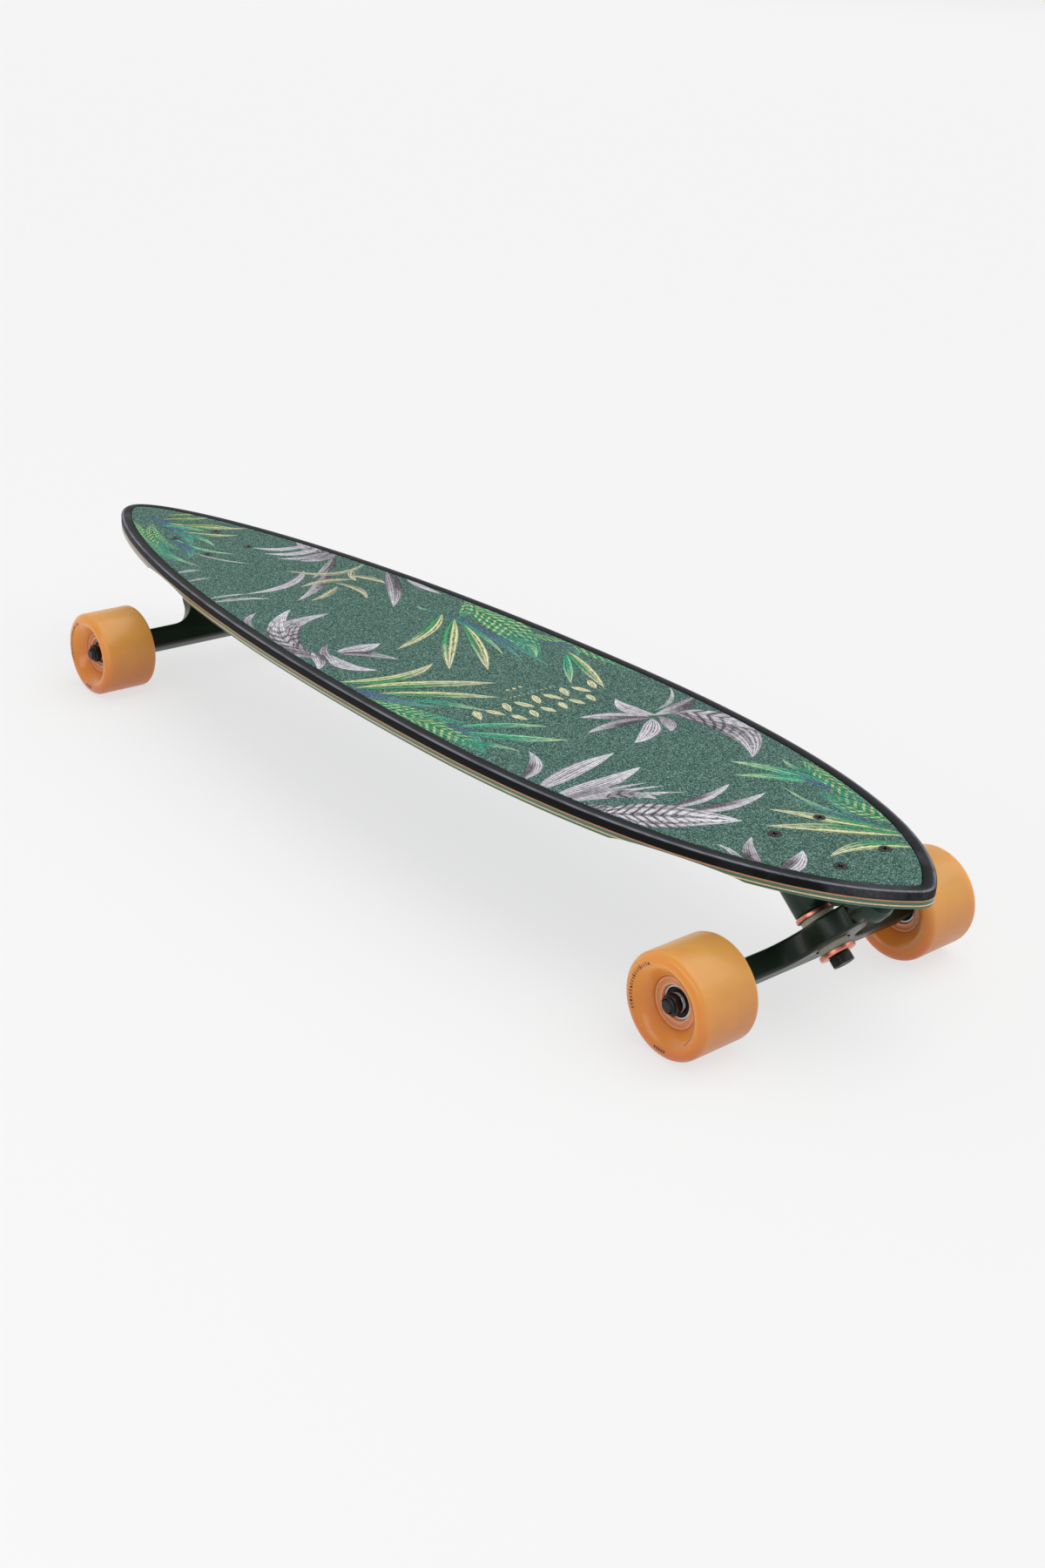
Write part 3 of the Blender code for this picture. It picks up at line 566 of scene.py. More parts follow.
def lofted(name, rings, capped, highlight_band=None):
    """A skin over (inset, height) rings that follow the outline. The last argument gives each ring a value
    for a painted highlight.
    """
    bm = bmesh.new()
    layer = bm.verts.layers.float.new("highlight_band") if highlight_band else None
    loops = []
    for number, (inset, z) in enumerate(rings):
        loop = [bm.verts.new((x, y, z)) for x, y in deck_outline(inset)]
        if highlight_band:
            for vert in loop:
                vert[layer] = highlight_band[number]
        loops.append(loop)
    pairs = list(zip(loops, loops[1:]))
    if capped:
        bm.faces.new(loops[0])
        bm.faces.new(loops[-1])
    else:
        pairs.append((loops[-1], loops[0]))
    for low, high in pairs:
        for k in range(len(low)):
            after = (k + 1) % len(low)
            bm.faces.new((low[k], low[after], high[after], high[k]))
    return mesh_from(bm, name)


def bolt_places():
    """Each deck bolt as (end, number, (x, y))."""
    for end, sign in ENDS:
        centre = WHEELBASE_MIDDLE + sign * WHEELBASE / 2
        for number, (x, y) in enumerate(BOLT_CORNERS, 1):
            yield end, number, (centre + x, y)


def build_deck():
    """Plies with wheel wells and bolt holes, the edge moulding on their rim, and the grit sheet."""
    soft = 0.0009
    rings = [(soft - soft * s, DECK_BOTTOM + soft - soft * c) for s, c in quarter_turn(4)]
    core_inset = RAIL_WIDTH + GAP / 2
    rings += [(0.0, RAIL_BOTTOM - 0.0001), (core_inset, RAIL_BOTTOM - 0.0001),
              (core_inset, GRIP_TOP - 0.0010)]
    core = lofted("deck_plies", rings, True)
    bm = bmesh.new()
    bmesh.ops.create_uvsphere(bm, u_segments=72, v_segments=40, radius=1.0)
    bmesh.ops.scale(bm, vec=WELL_SIZE, verts=bm.verts)
    well = mesh_from(bm, "well")
    steps = []
    side = deck_side(0.0)
    for sign in (1, -1):
        x = WHEELBASE_MIDDLE + sign * (WHEELBASE / 2 - WELL_INSET)
        edge = min(side, key=lambda point: abs(point[0] - x))[1]
        for direction in (1, -1):
            steps.append(('DIFFERENCE', well, at(x, direction * edge, DECK_BOTTOM - WELL_SINK)))
    sink = 0.0048
    above = DECK_TOP + 0.002
    below = DECK_BOTTOM - 0.002
    hole = turned("bolt_hole", [(0.0, above), (sink, above), (sink, DECK_TOP - 0.0004),
                                (SCREW_HOLE, DECK_TOP - 0.0026), (SCREW_HOLE, below), (0.0, below)], 40)
    holes = [('DIFFERENCE', hole, at(x, y, 0.0)) for _, _, (x, y) in bolt_places()]
    piece("deck_plies", combined("deck_plies", core, steps + holes, sharp=30.0), "board", WOOD,
          replaces=("deck_laminate",))

    radius = 0.0017
    profile = [(RAIL_WIDTH - GAP, RAIL_BOTTOM), (0.0003, RAIL_BOTTOM), (0.0, RAIL_BOTTOM + 0.0003)]
    highlight_band = [0.0, 0.0, 0.0]
    # The painted highlight is brightest just below the top of its round.
    for s, c in quarter_turn(8):
        up = radius * s
        profile.append((radius * (1.0 - c), DECK_TOP - radius + up))
        highlight_band.append(max(0.0, 1.0 - abs(up / radius - 0.93) * 3.2))
    profile += [(0.0030, DECK_TOP), (RAIL_WIDTH - 0.0014, DECK_TOP),
                (RAIL_WIDTH - GAP - 0.0003, DECK_TOP - 0.0001), (RAIL_WIDTH - GAP, DECK_TOP - 0.0005)]
    highlight_band += [0.10, 0.0, 0.0, 0.0]
    piece("edge_moulding", lofted("edge_moulding", profile, False, highlight_band), "board", RAIL,
          replaces=("edge_rail",))

    grip = lofted("grip", [(core_inset, GRIP_TOP - 0.0009), (core_inset, GRIP_TOP - 0.0002),
                           (core_inset + 0.0002, GRIP_TOP)], True)
    piece("grip_sheet_top", combined("grip_sheet_top", grip, holes), "board", GRIP,
          replaces=("grip_sheet",))


# ---- leaf print

# A palette is a leaf's main colour, accent and tip, then its usual cross bands, ink lines and split: 1
# where one side has the accent colour.
GREY = ((168, 160, 168), (78, 70, 80), (228, 226, 230), (0, 2, 1))
SILVER = ((214, 209, 215), (96, 88, 98), (240, 239, 242), (0, 2, 0))
BLADE = ((46, 156, 100), (212, 222, 158), (230, 228, 184), (0, 1, 1))
TEAL = ((24, 158, 126), (96, 200, 150), (184, 226, 172), (0, 1, 1))
BEIGE = ((208, 204, 160), (140, 152, 128), (228, 224, 186), (0, 1, 1))
BANANA = ((26, 148, 98), (176, 212, 138), (34, 150, 128), (12, 2, 0))
BLUE = ((56, 108, 134), (64, 146, 148), (84, 178, 148), (0, 2, 0))
LIME = ((104, 150, 74), (168, 194, 96), (206, 214, 134), (0, 1, 1))
SPIKE = ((178, 190, 182), (196, 206, 196), (236, 240, 236), (0, 1, 0))

# Each leaf: base x and y and tip x and y in millimetres on the board, sideways bow as a share of its
# length, half width in millimetres, palette, and its cross bands, ink lines and split where they aren't
# the palette's own. A later leaf lies over an earlier one.
LEAVES = [
    # tail, green cluster
    (-424, -8, -330, -20, 0.1, 8, BLUE, 0, 3, 0),
    (-432, -24, -296, -53, -0.05, 9, BANANA, 17, 2, 0),
    (-404, -16, -322, -34, -0.12, 8, BANANA),
    (-420, 8, -407, 36, 0.08, 3, LIME),
    (-413, 0, -395, 40, -0.05, 4, LIME),
    (-400, -4, -350, 49, -0.08, 5.4, BLADE),
    (-388, 2, -352, 40, 0.1, 3.6, LIME),
    (-370, -4, -336, 31, -0.1, 4, BLADE),
    (-396, -12, -362, 12, 0.06, 4, TEAL),
    (-376, -14, -318, -4, 0.12, 3.2, TEAL, 0, 1, 0),
    (-366, -20, -290, 0, -0.14, 3.4, TEAL),
    (-352, -26, -300, -40, 0.12, 5, BLUE),
    (-312, -28, -262, -4, -0.08, 1.7, SPIKE),
    (-356, -36, -278, -44, -0.1, 3, TEAL, 0, 1, 0),
    # tail, grey fronds at the far edge
    (-240, 74, -292, 64, 0.1, 8, GREY, 7, 2, 0),
    (-282, 72, -299, 22, 0.2, 4.6, SILVER),
    (-268, 73, -279, 22, 0.18, 5, SILVER),
    (-255, 74, -261, 24, 0.16, 5.2, GREY, 0, 2, 0),
    (-244, 72, -246, 36, 0.14, 4.6, GREY, 0, 2, 0),
    (-238, 66, -202, 20, 0.06, 4.6, GREY, 0, 1, 1),
    (-221, 24, -196, -50, 0.16, 4.4, SILVER),
    (-214, 44, -160, -23, 0.06, 5.6, GREY),
    (-210, 80, -230, 12, 0.28, 4.2, BEIGE),
    (-202, 62, -176, 46, -0.08, 3.6, BEIGE),
    (-190, 50, -158, 63, 0.12, 4.8, BEIGE),
    (-180, 46, -187, -2, -0.1, 4.6, BEIGE),
    (-182, 28, -134, 27, 0.16, 3.8, BEIGE),
    (-172, 24, -154, -14, 0.08, 3.8, BEIGE),
    (-184, 84, -106, 33, 0.04, 6.8, GREY),
    (-162, 87, -110, 86, -0.05, 3.6, SILVER),
    # white spikes at the near rail
    (-272, -70, -269, -49, 0.05, 2.8, SPIKE),
    (-248, -74, -246, -52, 0.05, 2, SPIKE),
    (-201, -82, -196, -50, 0.05, 2.4, SPIKE),
    (-192, -84, -176, -40, 0.08, 3.4, SPIKE),
    (-122, -89, -152, -68, 0.16, 3.4, GREY, 0, 2, 0),
    (-132, -92, -160, -86, 0.1, 2.6, SILVER),
    # grey bloom and bud
    (-50, -88, -104, -84, 0.06, 8, GREY, 9, 1, 0),
    (-56, -84, -145, -40, 0.16, 9, SILVER, 8, 2, 0),
    (-52, -84, -120, -20, 0.3, 12, GREY, 9, 2, 0),
    (-70, -86, -130, -58, 0.1, 7, SILVER, 6, 2, 0),
    (-46, -64, -43, -26, -0.06, 8, SILVER),
    (-42, -66, -8, -35, 0.1, 5, GREY),
    (-44, -72, 2, -61, -0.2, 7, SILVER),
    (-62, -62, -26, -76, -0.16, 4, GREY, 0, 1, 0),
    (-56, -80, -23, -97, 0.1, 5.4, SILVER, 0, 2, 1),
    (-44, -80, -62, -96, 0.1, 3, GREY, 0, 1, 0),
    # green leaves at the far edge
    (-82, 86, 50, 56, 0.06, 17, BANANA, 15, 2, 0),
    (-84, 92, -56, 62, 0.06, 6.5, BANANA, 5, 1, 0),
    (0, 84, 128, 100, 0.06, 9.5, BANANA, 15, 2, 0),
    (-70, 60, 66, 52, 0.02, 3.2, BLUE, 0, 3, 0),
    (-62, 58, 50, 40, 0.06, 3.4, BLUE),
    (-60, 56, 28, 38, 0.05, 3, TEAL, 0, 2, 0),
    (-10, 62, 46, 55, 0.2, 3.4, TEAL, 0, 1, 0),
    (20, 82, 62, 84, 0.22, 3.2, BLUE, 0, 1, 0),
    (-76, 56, -98, 50, 0.1, 1.8, TEAL, 0, 1, 0),
    (-72, 56, -26, -22, 0.06, 5.6, BLADE),
    (-56, 56, 29, -15, -0.02, 7, BLADE),
    (-40, 54, 46, 8, 0.02, 6, BLADE),
    (50, 84, 121, 57, 0.01, 5.4, BLADE),
    (52, 80, 101, 42, 0, 4.2, TEAL),
    # palm fan from the near rail
    (38, -102, 118, -68, -0.1, 12, BANANA, 13, 2, 0),
    (88, -98, 168, -92, 0.08, 11, BANANA, 11, 2, 0),
    (14, -98, 84, -68, -0.08, 6, BLUE, 0, 3, 0),
    (60, -78, 108, -44, 0.05, 4.4, TEAL, 0, 2, 0),
    (44, -84, 82, -44, 0.06, 3.6, BLUE),
    (6, -99, 13, -18, -0.16, 7, BLADE),
    (22, -96, 70, -4, 0.02, 7.6, BLADE),
    (40, -88, 93, -20, 0.02, 6, BLADE),
    (112, -84, 150, -82, 0.12, 4, BLUE),
    (120, -78, 154, -26, 0.04, 4.6, TEAL),
    (130, -80, 180, -30, -0.04, 6, TEAL),
    (140, -96, 176, -70, 0.08, 3.6, TEAL, 0, 1, 0),
    # grey flowers at the far edge
    (180, 62, 272, 55, 0.26, 14, GREY, 10, 2, 0),
    (184, 72, 240, 92, 0.1, 9, SILVER, 6, 2, 0),
    (172, 100, 180, 50, 0.06, 6.4, GREY),
    (174, 58, 148, 98, -0.12, 2, SPIKE),
    (180, 52, 142, 49, 0.18, 7.2, SILVER),
    (184, 52, 208, 40, 0.12, 5.6, GREY, 0, 2, 0),
    (180, 46, 154, 3, -0.04, 6, SILVER, 0, 2, 1),
    (183, 44, 178, -10, -0.06, 5.4, GREY),
    (184, 45, 209, 5, 0.1, 7.4, SILVER),
    # grey fronds from the near rail
    (212, -99, 180, -65, -0.14, 5.4, SILVER, 0, 2, 1),
    (230, -100, 214, -19, 0.02, 7.8, SILVER),
    (243, -99, 241, -20, -0.05, 7.8, SILVER),
    (250, -97, 252, -42, 0.02, 2.4, GREY, 0, 1, 0),
    (252, -97, 262, -34, 0.03, 2.6, GREY, 0, 1, 0),
    (254, -96, 272, -28, 0.03, 2.6, SILVER, 0, 1, 0),
    (256, -94, 287, -23, 0.04, 2.8, SILVER, 0, 1, 0),
    (262, -94, 300, -70, -0.08, 11, GREY, 8, 2, 0),
    (264, -72, 284, -46, 0.2, 6, GREY, 4, 2, 0),
    (278, -56, 282, -40, 0.4, 2.6, SPIKE),
    (297, -50, 294, 10, -0.08, 4.6, SILVER, 0, 2, 1),
    (306, -48, 317, 20, -0.09, 5.4, SILVER, 0, 2, 1),
    (276, -96, 338, -24, 0.02, 17, SILVER, 15, 1, 0),
    # nose, green cluster
    (296, 79, 382, 60, -0.02, 9, BANANA),
    (398, 58, 334, 50, 0.04, 11, BANANA, 10, 2, 0),
    (316, 76, 286, 70, 0.22, 2.6, TEAL, 0, 1, 0),
    (332, 66, 268, 37, -0.06, 5.6, TEAL),
    (328, 63, 286, 23, -0.06, 5, TEAL),
    (340, 62, 304, 64, 0.12, 4, BLUE, 0, 1, 0),
    (410, 50, 318, 36, 0.1, 2.8, TEAL, 0, 1, 0),
    (412, 48, 330, 28, 0.05, 2.8, BLUE, 0, 1, 0),
    (410, 48, 350, 44, 0.08, 2.6, BLUE, 0, 1, 0),
    (406, 46, 336, 3, -0.02, 6, BLADE),
    (412, 46, 352, -17, -0.04, 7, BLADE),
    (426, 38, 404, -16, -0.16, 6, BLADE),
    # nose, grey leaves at the near rail
    (394, -62, 358, -36, 0.12, 5, GREY),
    (402, -58, 389, -24, -0.08, 6.8, SILVER, 0, 2, 1),
    (382, -70, 352, -61, -0.12, 2.6, SPIKE),
]
# A plain cream border across the middle, in leaf shapes: centre x and y, length and half width in
# millimetres, and lean in radians.
CREAM = ((236, 236, 184), (228, 228, 176), (240, 238, 190), (0, 1, 0))
ORNAMENTS = [(112.5 + 1.5 * way, -54.0 + 13.5 * n, 17.0, 3.4, 0.38 * way)
             for n, way in enumerate((-1, 1, -1, 1, -1, 1, -1, 1, -1))]
ORNAMENTS += [(130.5, -32.0 + 13.5 * n, 14.0, 3.2, 0.30 * way) for n, way in enumerate((1, -1, 1, -1, 1, -1))]
ORNAMENTS += [(98.5, -18.0 + 4.2 * n, 2.4, 0.6, 0.0) for n in range(11)]
ORNAMENTS += [(86.0, -6.0 + 6.0 * n, 3.4, 1.6, 0.0) for n in range(3)]

LEAF_STEPS = 26
LEAF_ACROSS = (-1.0, -0.86, -0.5, -0.12, 0.12, 0.5, 0.86, 1.0)
PRINT_INSET = RAIL_WIDTH + 0.0006
PRINT_REACH = HALF_LENGTH - PRINT_INSET - 0.001
PRINT_LEVEL = GRIP_TOP + 0.00001
LEAF_LEVEL_STEP = 0.0000004
ORNAMENT_LEVEL = GRIP_TOP + 0.00006
SMALLEST_FACE = 1e-9
BOLT_FIELD = 0.010
BOLT_CLEARANCE = 0.0037


def half_width_at(x, side):
    """The printable half width at x, from the outline."""
    for (x0, y0), (x1, y1) in zip(side, side[1:]):
        if x1 <= x <= x0:
            share = (x0 - x) / max(x0 - x1, 1e-9)
            return y0 + share * (y1 - y0)
    return 0.0


def leaf_strip(bm, layers, leaf, level, side):
    """Add one leaf as a flat strip at a level, kept inside the printable outline."""
    x0, y0, x1, y1, bow, width, (*colours, usual_veins), *veins = leaf
    base = Vector((x0, y0)) / 1000.0
    tip = Vector((x1, y1)) / 1000.0
    chord = tip - base
    normal = Vector((-chord.y, chord.x))
    control = (base + tip) / 2 + 2.0 * bow * normal
    seed = (x0 * 7 + y1 * 13) % 97 / 97.0
    rows = []
    for k in range(LEAF_STEPS + 1):
        t = k / LEAF_STEPS
        centre = (1 - t) ** 2 * base + 2 * t * (1 - t) * control + t * t * tip
        heading = (2 * (1 - t) * (control - base) + 2 * t * (tip - control)).normalized()
        sideways = Vector((-heading.y, heading.x))
        swell = sin(pi * t ** 0.85) ** 0.85 if 0 < t < 1 else 0.0
        reach = width / 1000.0 * max(0.02, swell * (1.0 + 0.05 * sin(9.0 * t + 6.0 * seed)))
        row = []
        for across in LEAF_ACROSS:
            point = centre + across * reach * sideways
            point.x = max(min(point.x, PRINT_REACH), -PRINT_REACH)
            limit = half_width_at(point.x, side)
            point.y = max(min(point.y, limit), -limit)
            vert = bm.verts.new((point.x, point.y, level))
            vert[layers["leaf"]] = (t, across, seed)
            vert[layers["veins"]] = veins or usual_veins
            row.append(vert)
        rows.append(row)
    for near, far in zip(rows, rows[1:]):
        for k in range(len(near) - 1):
            face = bm.faces.new((near[k], near[k + 1], far[k + 1], far[k]))
            if face.calc_area() < SMALLEST_FACE:
                bm.faces.remove(face)
                continue
            for loop in face.loops:
                for layer, colour in zip(layers["colours"], colours):
                    loop[layer] = (*linear(colour), 1.0)


def clear_round(bm, centre):
    """Divide the print finely round a bolt and take away what its head covers."""
    def within(reach):
        return [face for face in bm.faces if (face.calc_center_median().xy - centre).length < reach]

    edges = list(dict.fromkeys(edge for face in within(BOLT_FIELD) for edge in face.edges))
    bmesh.ops.subdivide_edges(bm, edges=edges, cuts=3, use_grid_fill=True)
    bmesh.ops.delete(bm, geom=within(BOLT_CLEARANCE), context='FACES')


def build_print():
    """All the leaves, each a little higher than the one before, with the cream border on top."""
    bm = bmesh.new()
    layers = {"leaf": bm.verts.layers.float_vector.new("leaf"),
              "veins": bm.verts.layers.float_vector.new("veins"),
              "colours": [bm.loops.layers.float_color.new(name)
                          for name in ("leaf_main", "leaf_accent", "leaf_tip")]}
    side = deck_side(PRINT_INSET)
    for number, leaf in enumerate(LEAVES):
        leaf_strip(bm, layers, leaf, PRINT_LEVEL + LEAF_LEVEL_STEP * number, side)
    for x, y, length, width, lean in ORNAMENTS:
        reach_x = length / 2 * cos(lean)
        reach_y = length / 2 * sin(lean)
        leaf = (x - reach_x, y - reach_y, x + reach_x, y + reach_y, 0, width, CREAM)
        leaf_strip(bm, layers, leaf, ORNAMENT_LEVEL, side)
    for _, _, (x, y) in bolt_places():
        clear_round(bm, Vector((x, y)))
    loose = [vert for vert in bm.verts if not vert.link_faces]
    bmesh.ops.delete(bm, geom=loose, context='VERTS')
    mesh = bpy.data.meshes.new("leaf_print")
    bm.to_mesh(mesh)
    bm.free()
    return mesh


build_deck()
piece("leaf_print", build_print(), "board", PRINT)


# ---- trucks

def arc(centre, radius, start, end, steps):
    """Points round part of a circle, angles in degrees."""
    return [(centre[0] + radius * cos(radians(start + (end - start) * k / steps)),
             centre[1] + radius * sin(radians(start + (end - start) * k / steps)))
            for k in range(steps + 1)]


def hanger_outline():
    """The hanger's face side: X along the steering axis from the bushing seat, Y along the axle."""
    arm_top = -SEAT_OFFSET + 0.0095
    arm_bottom = -SEAT_OFFSET - 0.0085
    side = [(0.0315, 0.0072), (0.0290, 0.0079), (0.0268, 0.0094), (0.0248, 0.0116), (0.0226, 0.0141),
            (0.0198, 0.0165), (0.0165, 0.0182), (0.0136, 0.0191), (0.0105, 0.0196)]
    fillet = 0.0235
    centre = (0.0105, 0.0196 + fillet)
    drop = centre[0] - arm_top
    for k in range(1, 18):
        turn = -pi / 2 - k / 18 * pi / 2
        side.append((centre[0] + drop * cos(turn), centre[1] + fillet * sin(turn)))
    side += [(arm_top, centre[1] + 0.004), (arm_top, 0.0895), (arm_top - 0.0008, 0.0900),
             (arm_bottom + 0.0008, 0.0900), (arm_bottom, 0.0895)]
    return side + [(x, -y) for x, y in reversed(side)]


def hanger_mesh():
    half = 0.008
    pin = turned("pin", [(0.0, 0.0515), (0.0030, 0.0510), (0.0055, 0.0490), (0.0066, 0.0450),
                         (0.0066, 0.0365), (0.0074, 0.0280), (0.0, 0.0280)], 48, PIN_ON)
    at_axle = at(-SEAT_OFFSET, 0.0, 0.0)
    boss = turned("axle_boss", [(0.0, 0.0898), (0.0066, 0.0898), (0.0076, 0.0888), (0.0076, 0.070),
                                (0.0, 0.066)], 48, SIDE_ON)
    other_boss = boss.copy()
    other_boss.transform(Matrix.Rotation(pi, 4, 'Z'))
    steps = [('UNION', pin, Matrix()), ('UNION', boss, at_axle), ('UNION', other_boss, at_axle)]
    for low, high in ((WEB_HALF, 2 * half), (-2 * half, -WEB_HALF)):
        steps.append(('DIFFERENCE', rod("seat", 0.0123, low, high), Matrix()))
    steps.append(('DIFFERENCE', rod("web_hole", 0.0070, -half, half), Matrix()))
    steps.append(('DIFFERENCE', rod("axle_bore", 0.0043, -0.2, 0.2, 48, SIDE_ON), at_axle))
    blank = prism("hanger", hanger_outline(), -half, half, 0.0024, 5)
    return combined("hanger", blank, steps, bevel=0.0005, sharp=40.0)


def plate_outline():
    """The baseplate from above, with wide round corners."""
    outer = 0.046
    inner = -0.042
    wide = 0.0285
    corner = 0.008
    points = []
    for x, y, start in ((outer - corner, wide - corner, 0), (inner + corner, wide - corner, 90),
                        (inner + corner, corner - wide, 180), (outer - corner, corner - wide, 270)):
        points += arc((x, y), corner, start, start + 90, 8)
    return points


def web_outline():
    away = Vector((-sin(TILT), cos(TILT)))
    along = Vector((cos(TILT), sin(TILT)))
    seat = Vector((SEAT_POINT.x, SEAT_POINT.z))
    outer_low = seat + 0.0175 * away + 0.0116 * along
    inner_low = seat + 0.0175 * away
    inner_back = seat + 0.0365 * away
    outer_back = seat + 0.0365 * away + 0.0081 * along
    buried = PLATE_BOTTOM + 0.0032
    return [tuple(inner_low), tuple(outer_low), (outer_low.x + 0.007, buried), (outer_back.x, buried),
            tuple(outer_back), tuple(inner_back)]


def baseplate_mesh():
    seat_place = at(*SEAT_POINT) @ Matrix.Rotation(-TILT, 4, 'Y')
    web = prism("web", web_outline(), -0.0095, 0.0095, 0.0015, 3)
    web.transform(SIDE_ON)
    boss = turned("boss", [(0.0, BOSS_HIGH), (0.0126, BOSS_HIGH), (0.0126, BOSS_LOW + 0.0008),
                           (0.0118, BOSS_LOW), (0.0, BOSS_LOW)])
    housing = turned("housing", [(0.0, 0.0560), (0.0090, 0.0558), (0.0118, 0.0548), (0.0134, 0.0520),
                                 (0.0134, 0.0444), (0.0126, 0.0436), (0.0, 0.0436)], 64, PIN_ON)
    level = prism("level", [(-0.1, -0.1), (0.1, -0.1), (0.1, 0.1), (-0.1, 0.1)], PLATE_TOP, PLATE_TOP + 0.2)
    cup_hole = rod("cup_hole", 0.0086, 0.0336, 0.0525, 48, PIN_ON)
    bore = rod("bore", KINGPIN_HOLE, 0.006, 0.048, 48)
    drill = rod("drill", SCREW_HOLE, PLATE_BOTTOM - 0.01, PLATE_TOP + 0.01, 32)
    steps = [('UNION', web, Matrix()), ('UNION', boss, seat_place), ('UNION', housing, seat_place),
             ('DIFFERENCE', level, Matrix()), ('DIFFERENCE', cup_hole, seat_place),
             ('DIFFERENCE', bore, seat_place)]
    steps += [('DIFFERENCE', drill, at(x, y, 0.0)) for x, y in BOLT_CORNERS]
    blank = prism("baseplate", plate_outline(), PLATE_BOTTOM, PLATE_TOP, 0.0012, 4)
    return combined("baseplate", blank, steps, bevel=0.0009, sharp=40.0)


def cupped_washer(radius, face, toward):
    """A pressed cup washer: round shoulder, thin lip, face is its outer height."""
    sheet = WASHER_SHEET
    lip = 0.0017
    shoulder = 0.0011
    outer = [(radius - shoulder + shoulder * s, face - toward * (shoulder - shoulder * c))
             for s, c in quarter_turn(5)]
    rim = face - toward * (sheet + lip)
    inner = radius - sheet
    back = face - toward * sheet
    profile = [(KINGPIN_HOLE, face - toward * 0.0002), (KINGPIN_HOLE + 0.0002, face), *outer,
               (radius, rim + toward * 0.0003), (radius - 0.0003, rim), (inner + 0.0003, rim),
               (inner, rim + toward * 0.0003), (inner, back - toward * 0.0004), (inner - 0.0004, back),
               (KINGPIN_HOLE, back)]
    return turned("washer", profile)


def bushing_mesh(radius, low, high):
    """A turned urethane bushing with a slight waist and soft corners."""
    soft = 0.0009
    waist = radius - 0.0002
    middle = (low + high) / 2
    profile = [(KINGPIN_HOLE, high), (radius - soft, high)]
    profile += [(radius - soft + soft * s, high - soft + soft * c) for s, c in quarter_turn(4)[1:]]
    profile += [(waist, middle + 0.0010), (waist, middle - 0.0010)]
    profile += [(radius - soft + soft * c, low + soft - soft * s) for s, c in quarter_turn(4)]
    profile.append((KINGPIN_HOLE, low))
    return turned("bushing", profile)


def nut_mesh(name, across, low, high, bore, collar=0.0, turn=Matrix()):
    """A hex nut with a turned chamfer on both faces, a countersunk bore and an optional locking collar."""
    corner = across / sqrt(3.0)
    flat = across / 2.0
    drop = (corner - flat) * 0.62
    body_high = high - collar
    hexagon = prism(name, [(1.02 * corner * cos(k * pi / 3), 1.02 * corner * sin(k * pi / 3))
                           for k in range(6)], low, body_high)
    dome = turned("dome", [(0.0, body_high), (flat * 0.97, body_high), (corner, body_high - drop),
                           (corner, low + drop), (flat * 0.97, low), (0.0, low)])
    steps = [('INTERSECT', dome, Matrix())]
    if collar:
        ring = turned("collar", [(0.0, high), (flat * 0.74, high), (flat * 0.86, high - 0.35 * collar),
                                 (flat * 0.88, body_high - 0.0004), (0.0, body_high - 0.0004)])
        steps.append(('UNION', ring, Matrix()))
    steps.append(('DIFFERENCE', turned("bore", [
        (0.0, high + 0.001), (bore + 0.0014, high + 0.001), (bore + 0.0004, high), (bore, high - 0.0006),
        (bore, low + 0.0006), (bore + 0.0006, low), (bore + 0.0012, low - 0.001), (0.0, low - 0.001)], 48),
        Matrix()))
    mesh = combined(name, hexagon, steps, bevel=0.00018, sharp=28.0)
    mesh.transform(turn)
    return mesh


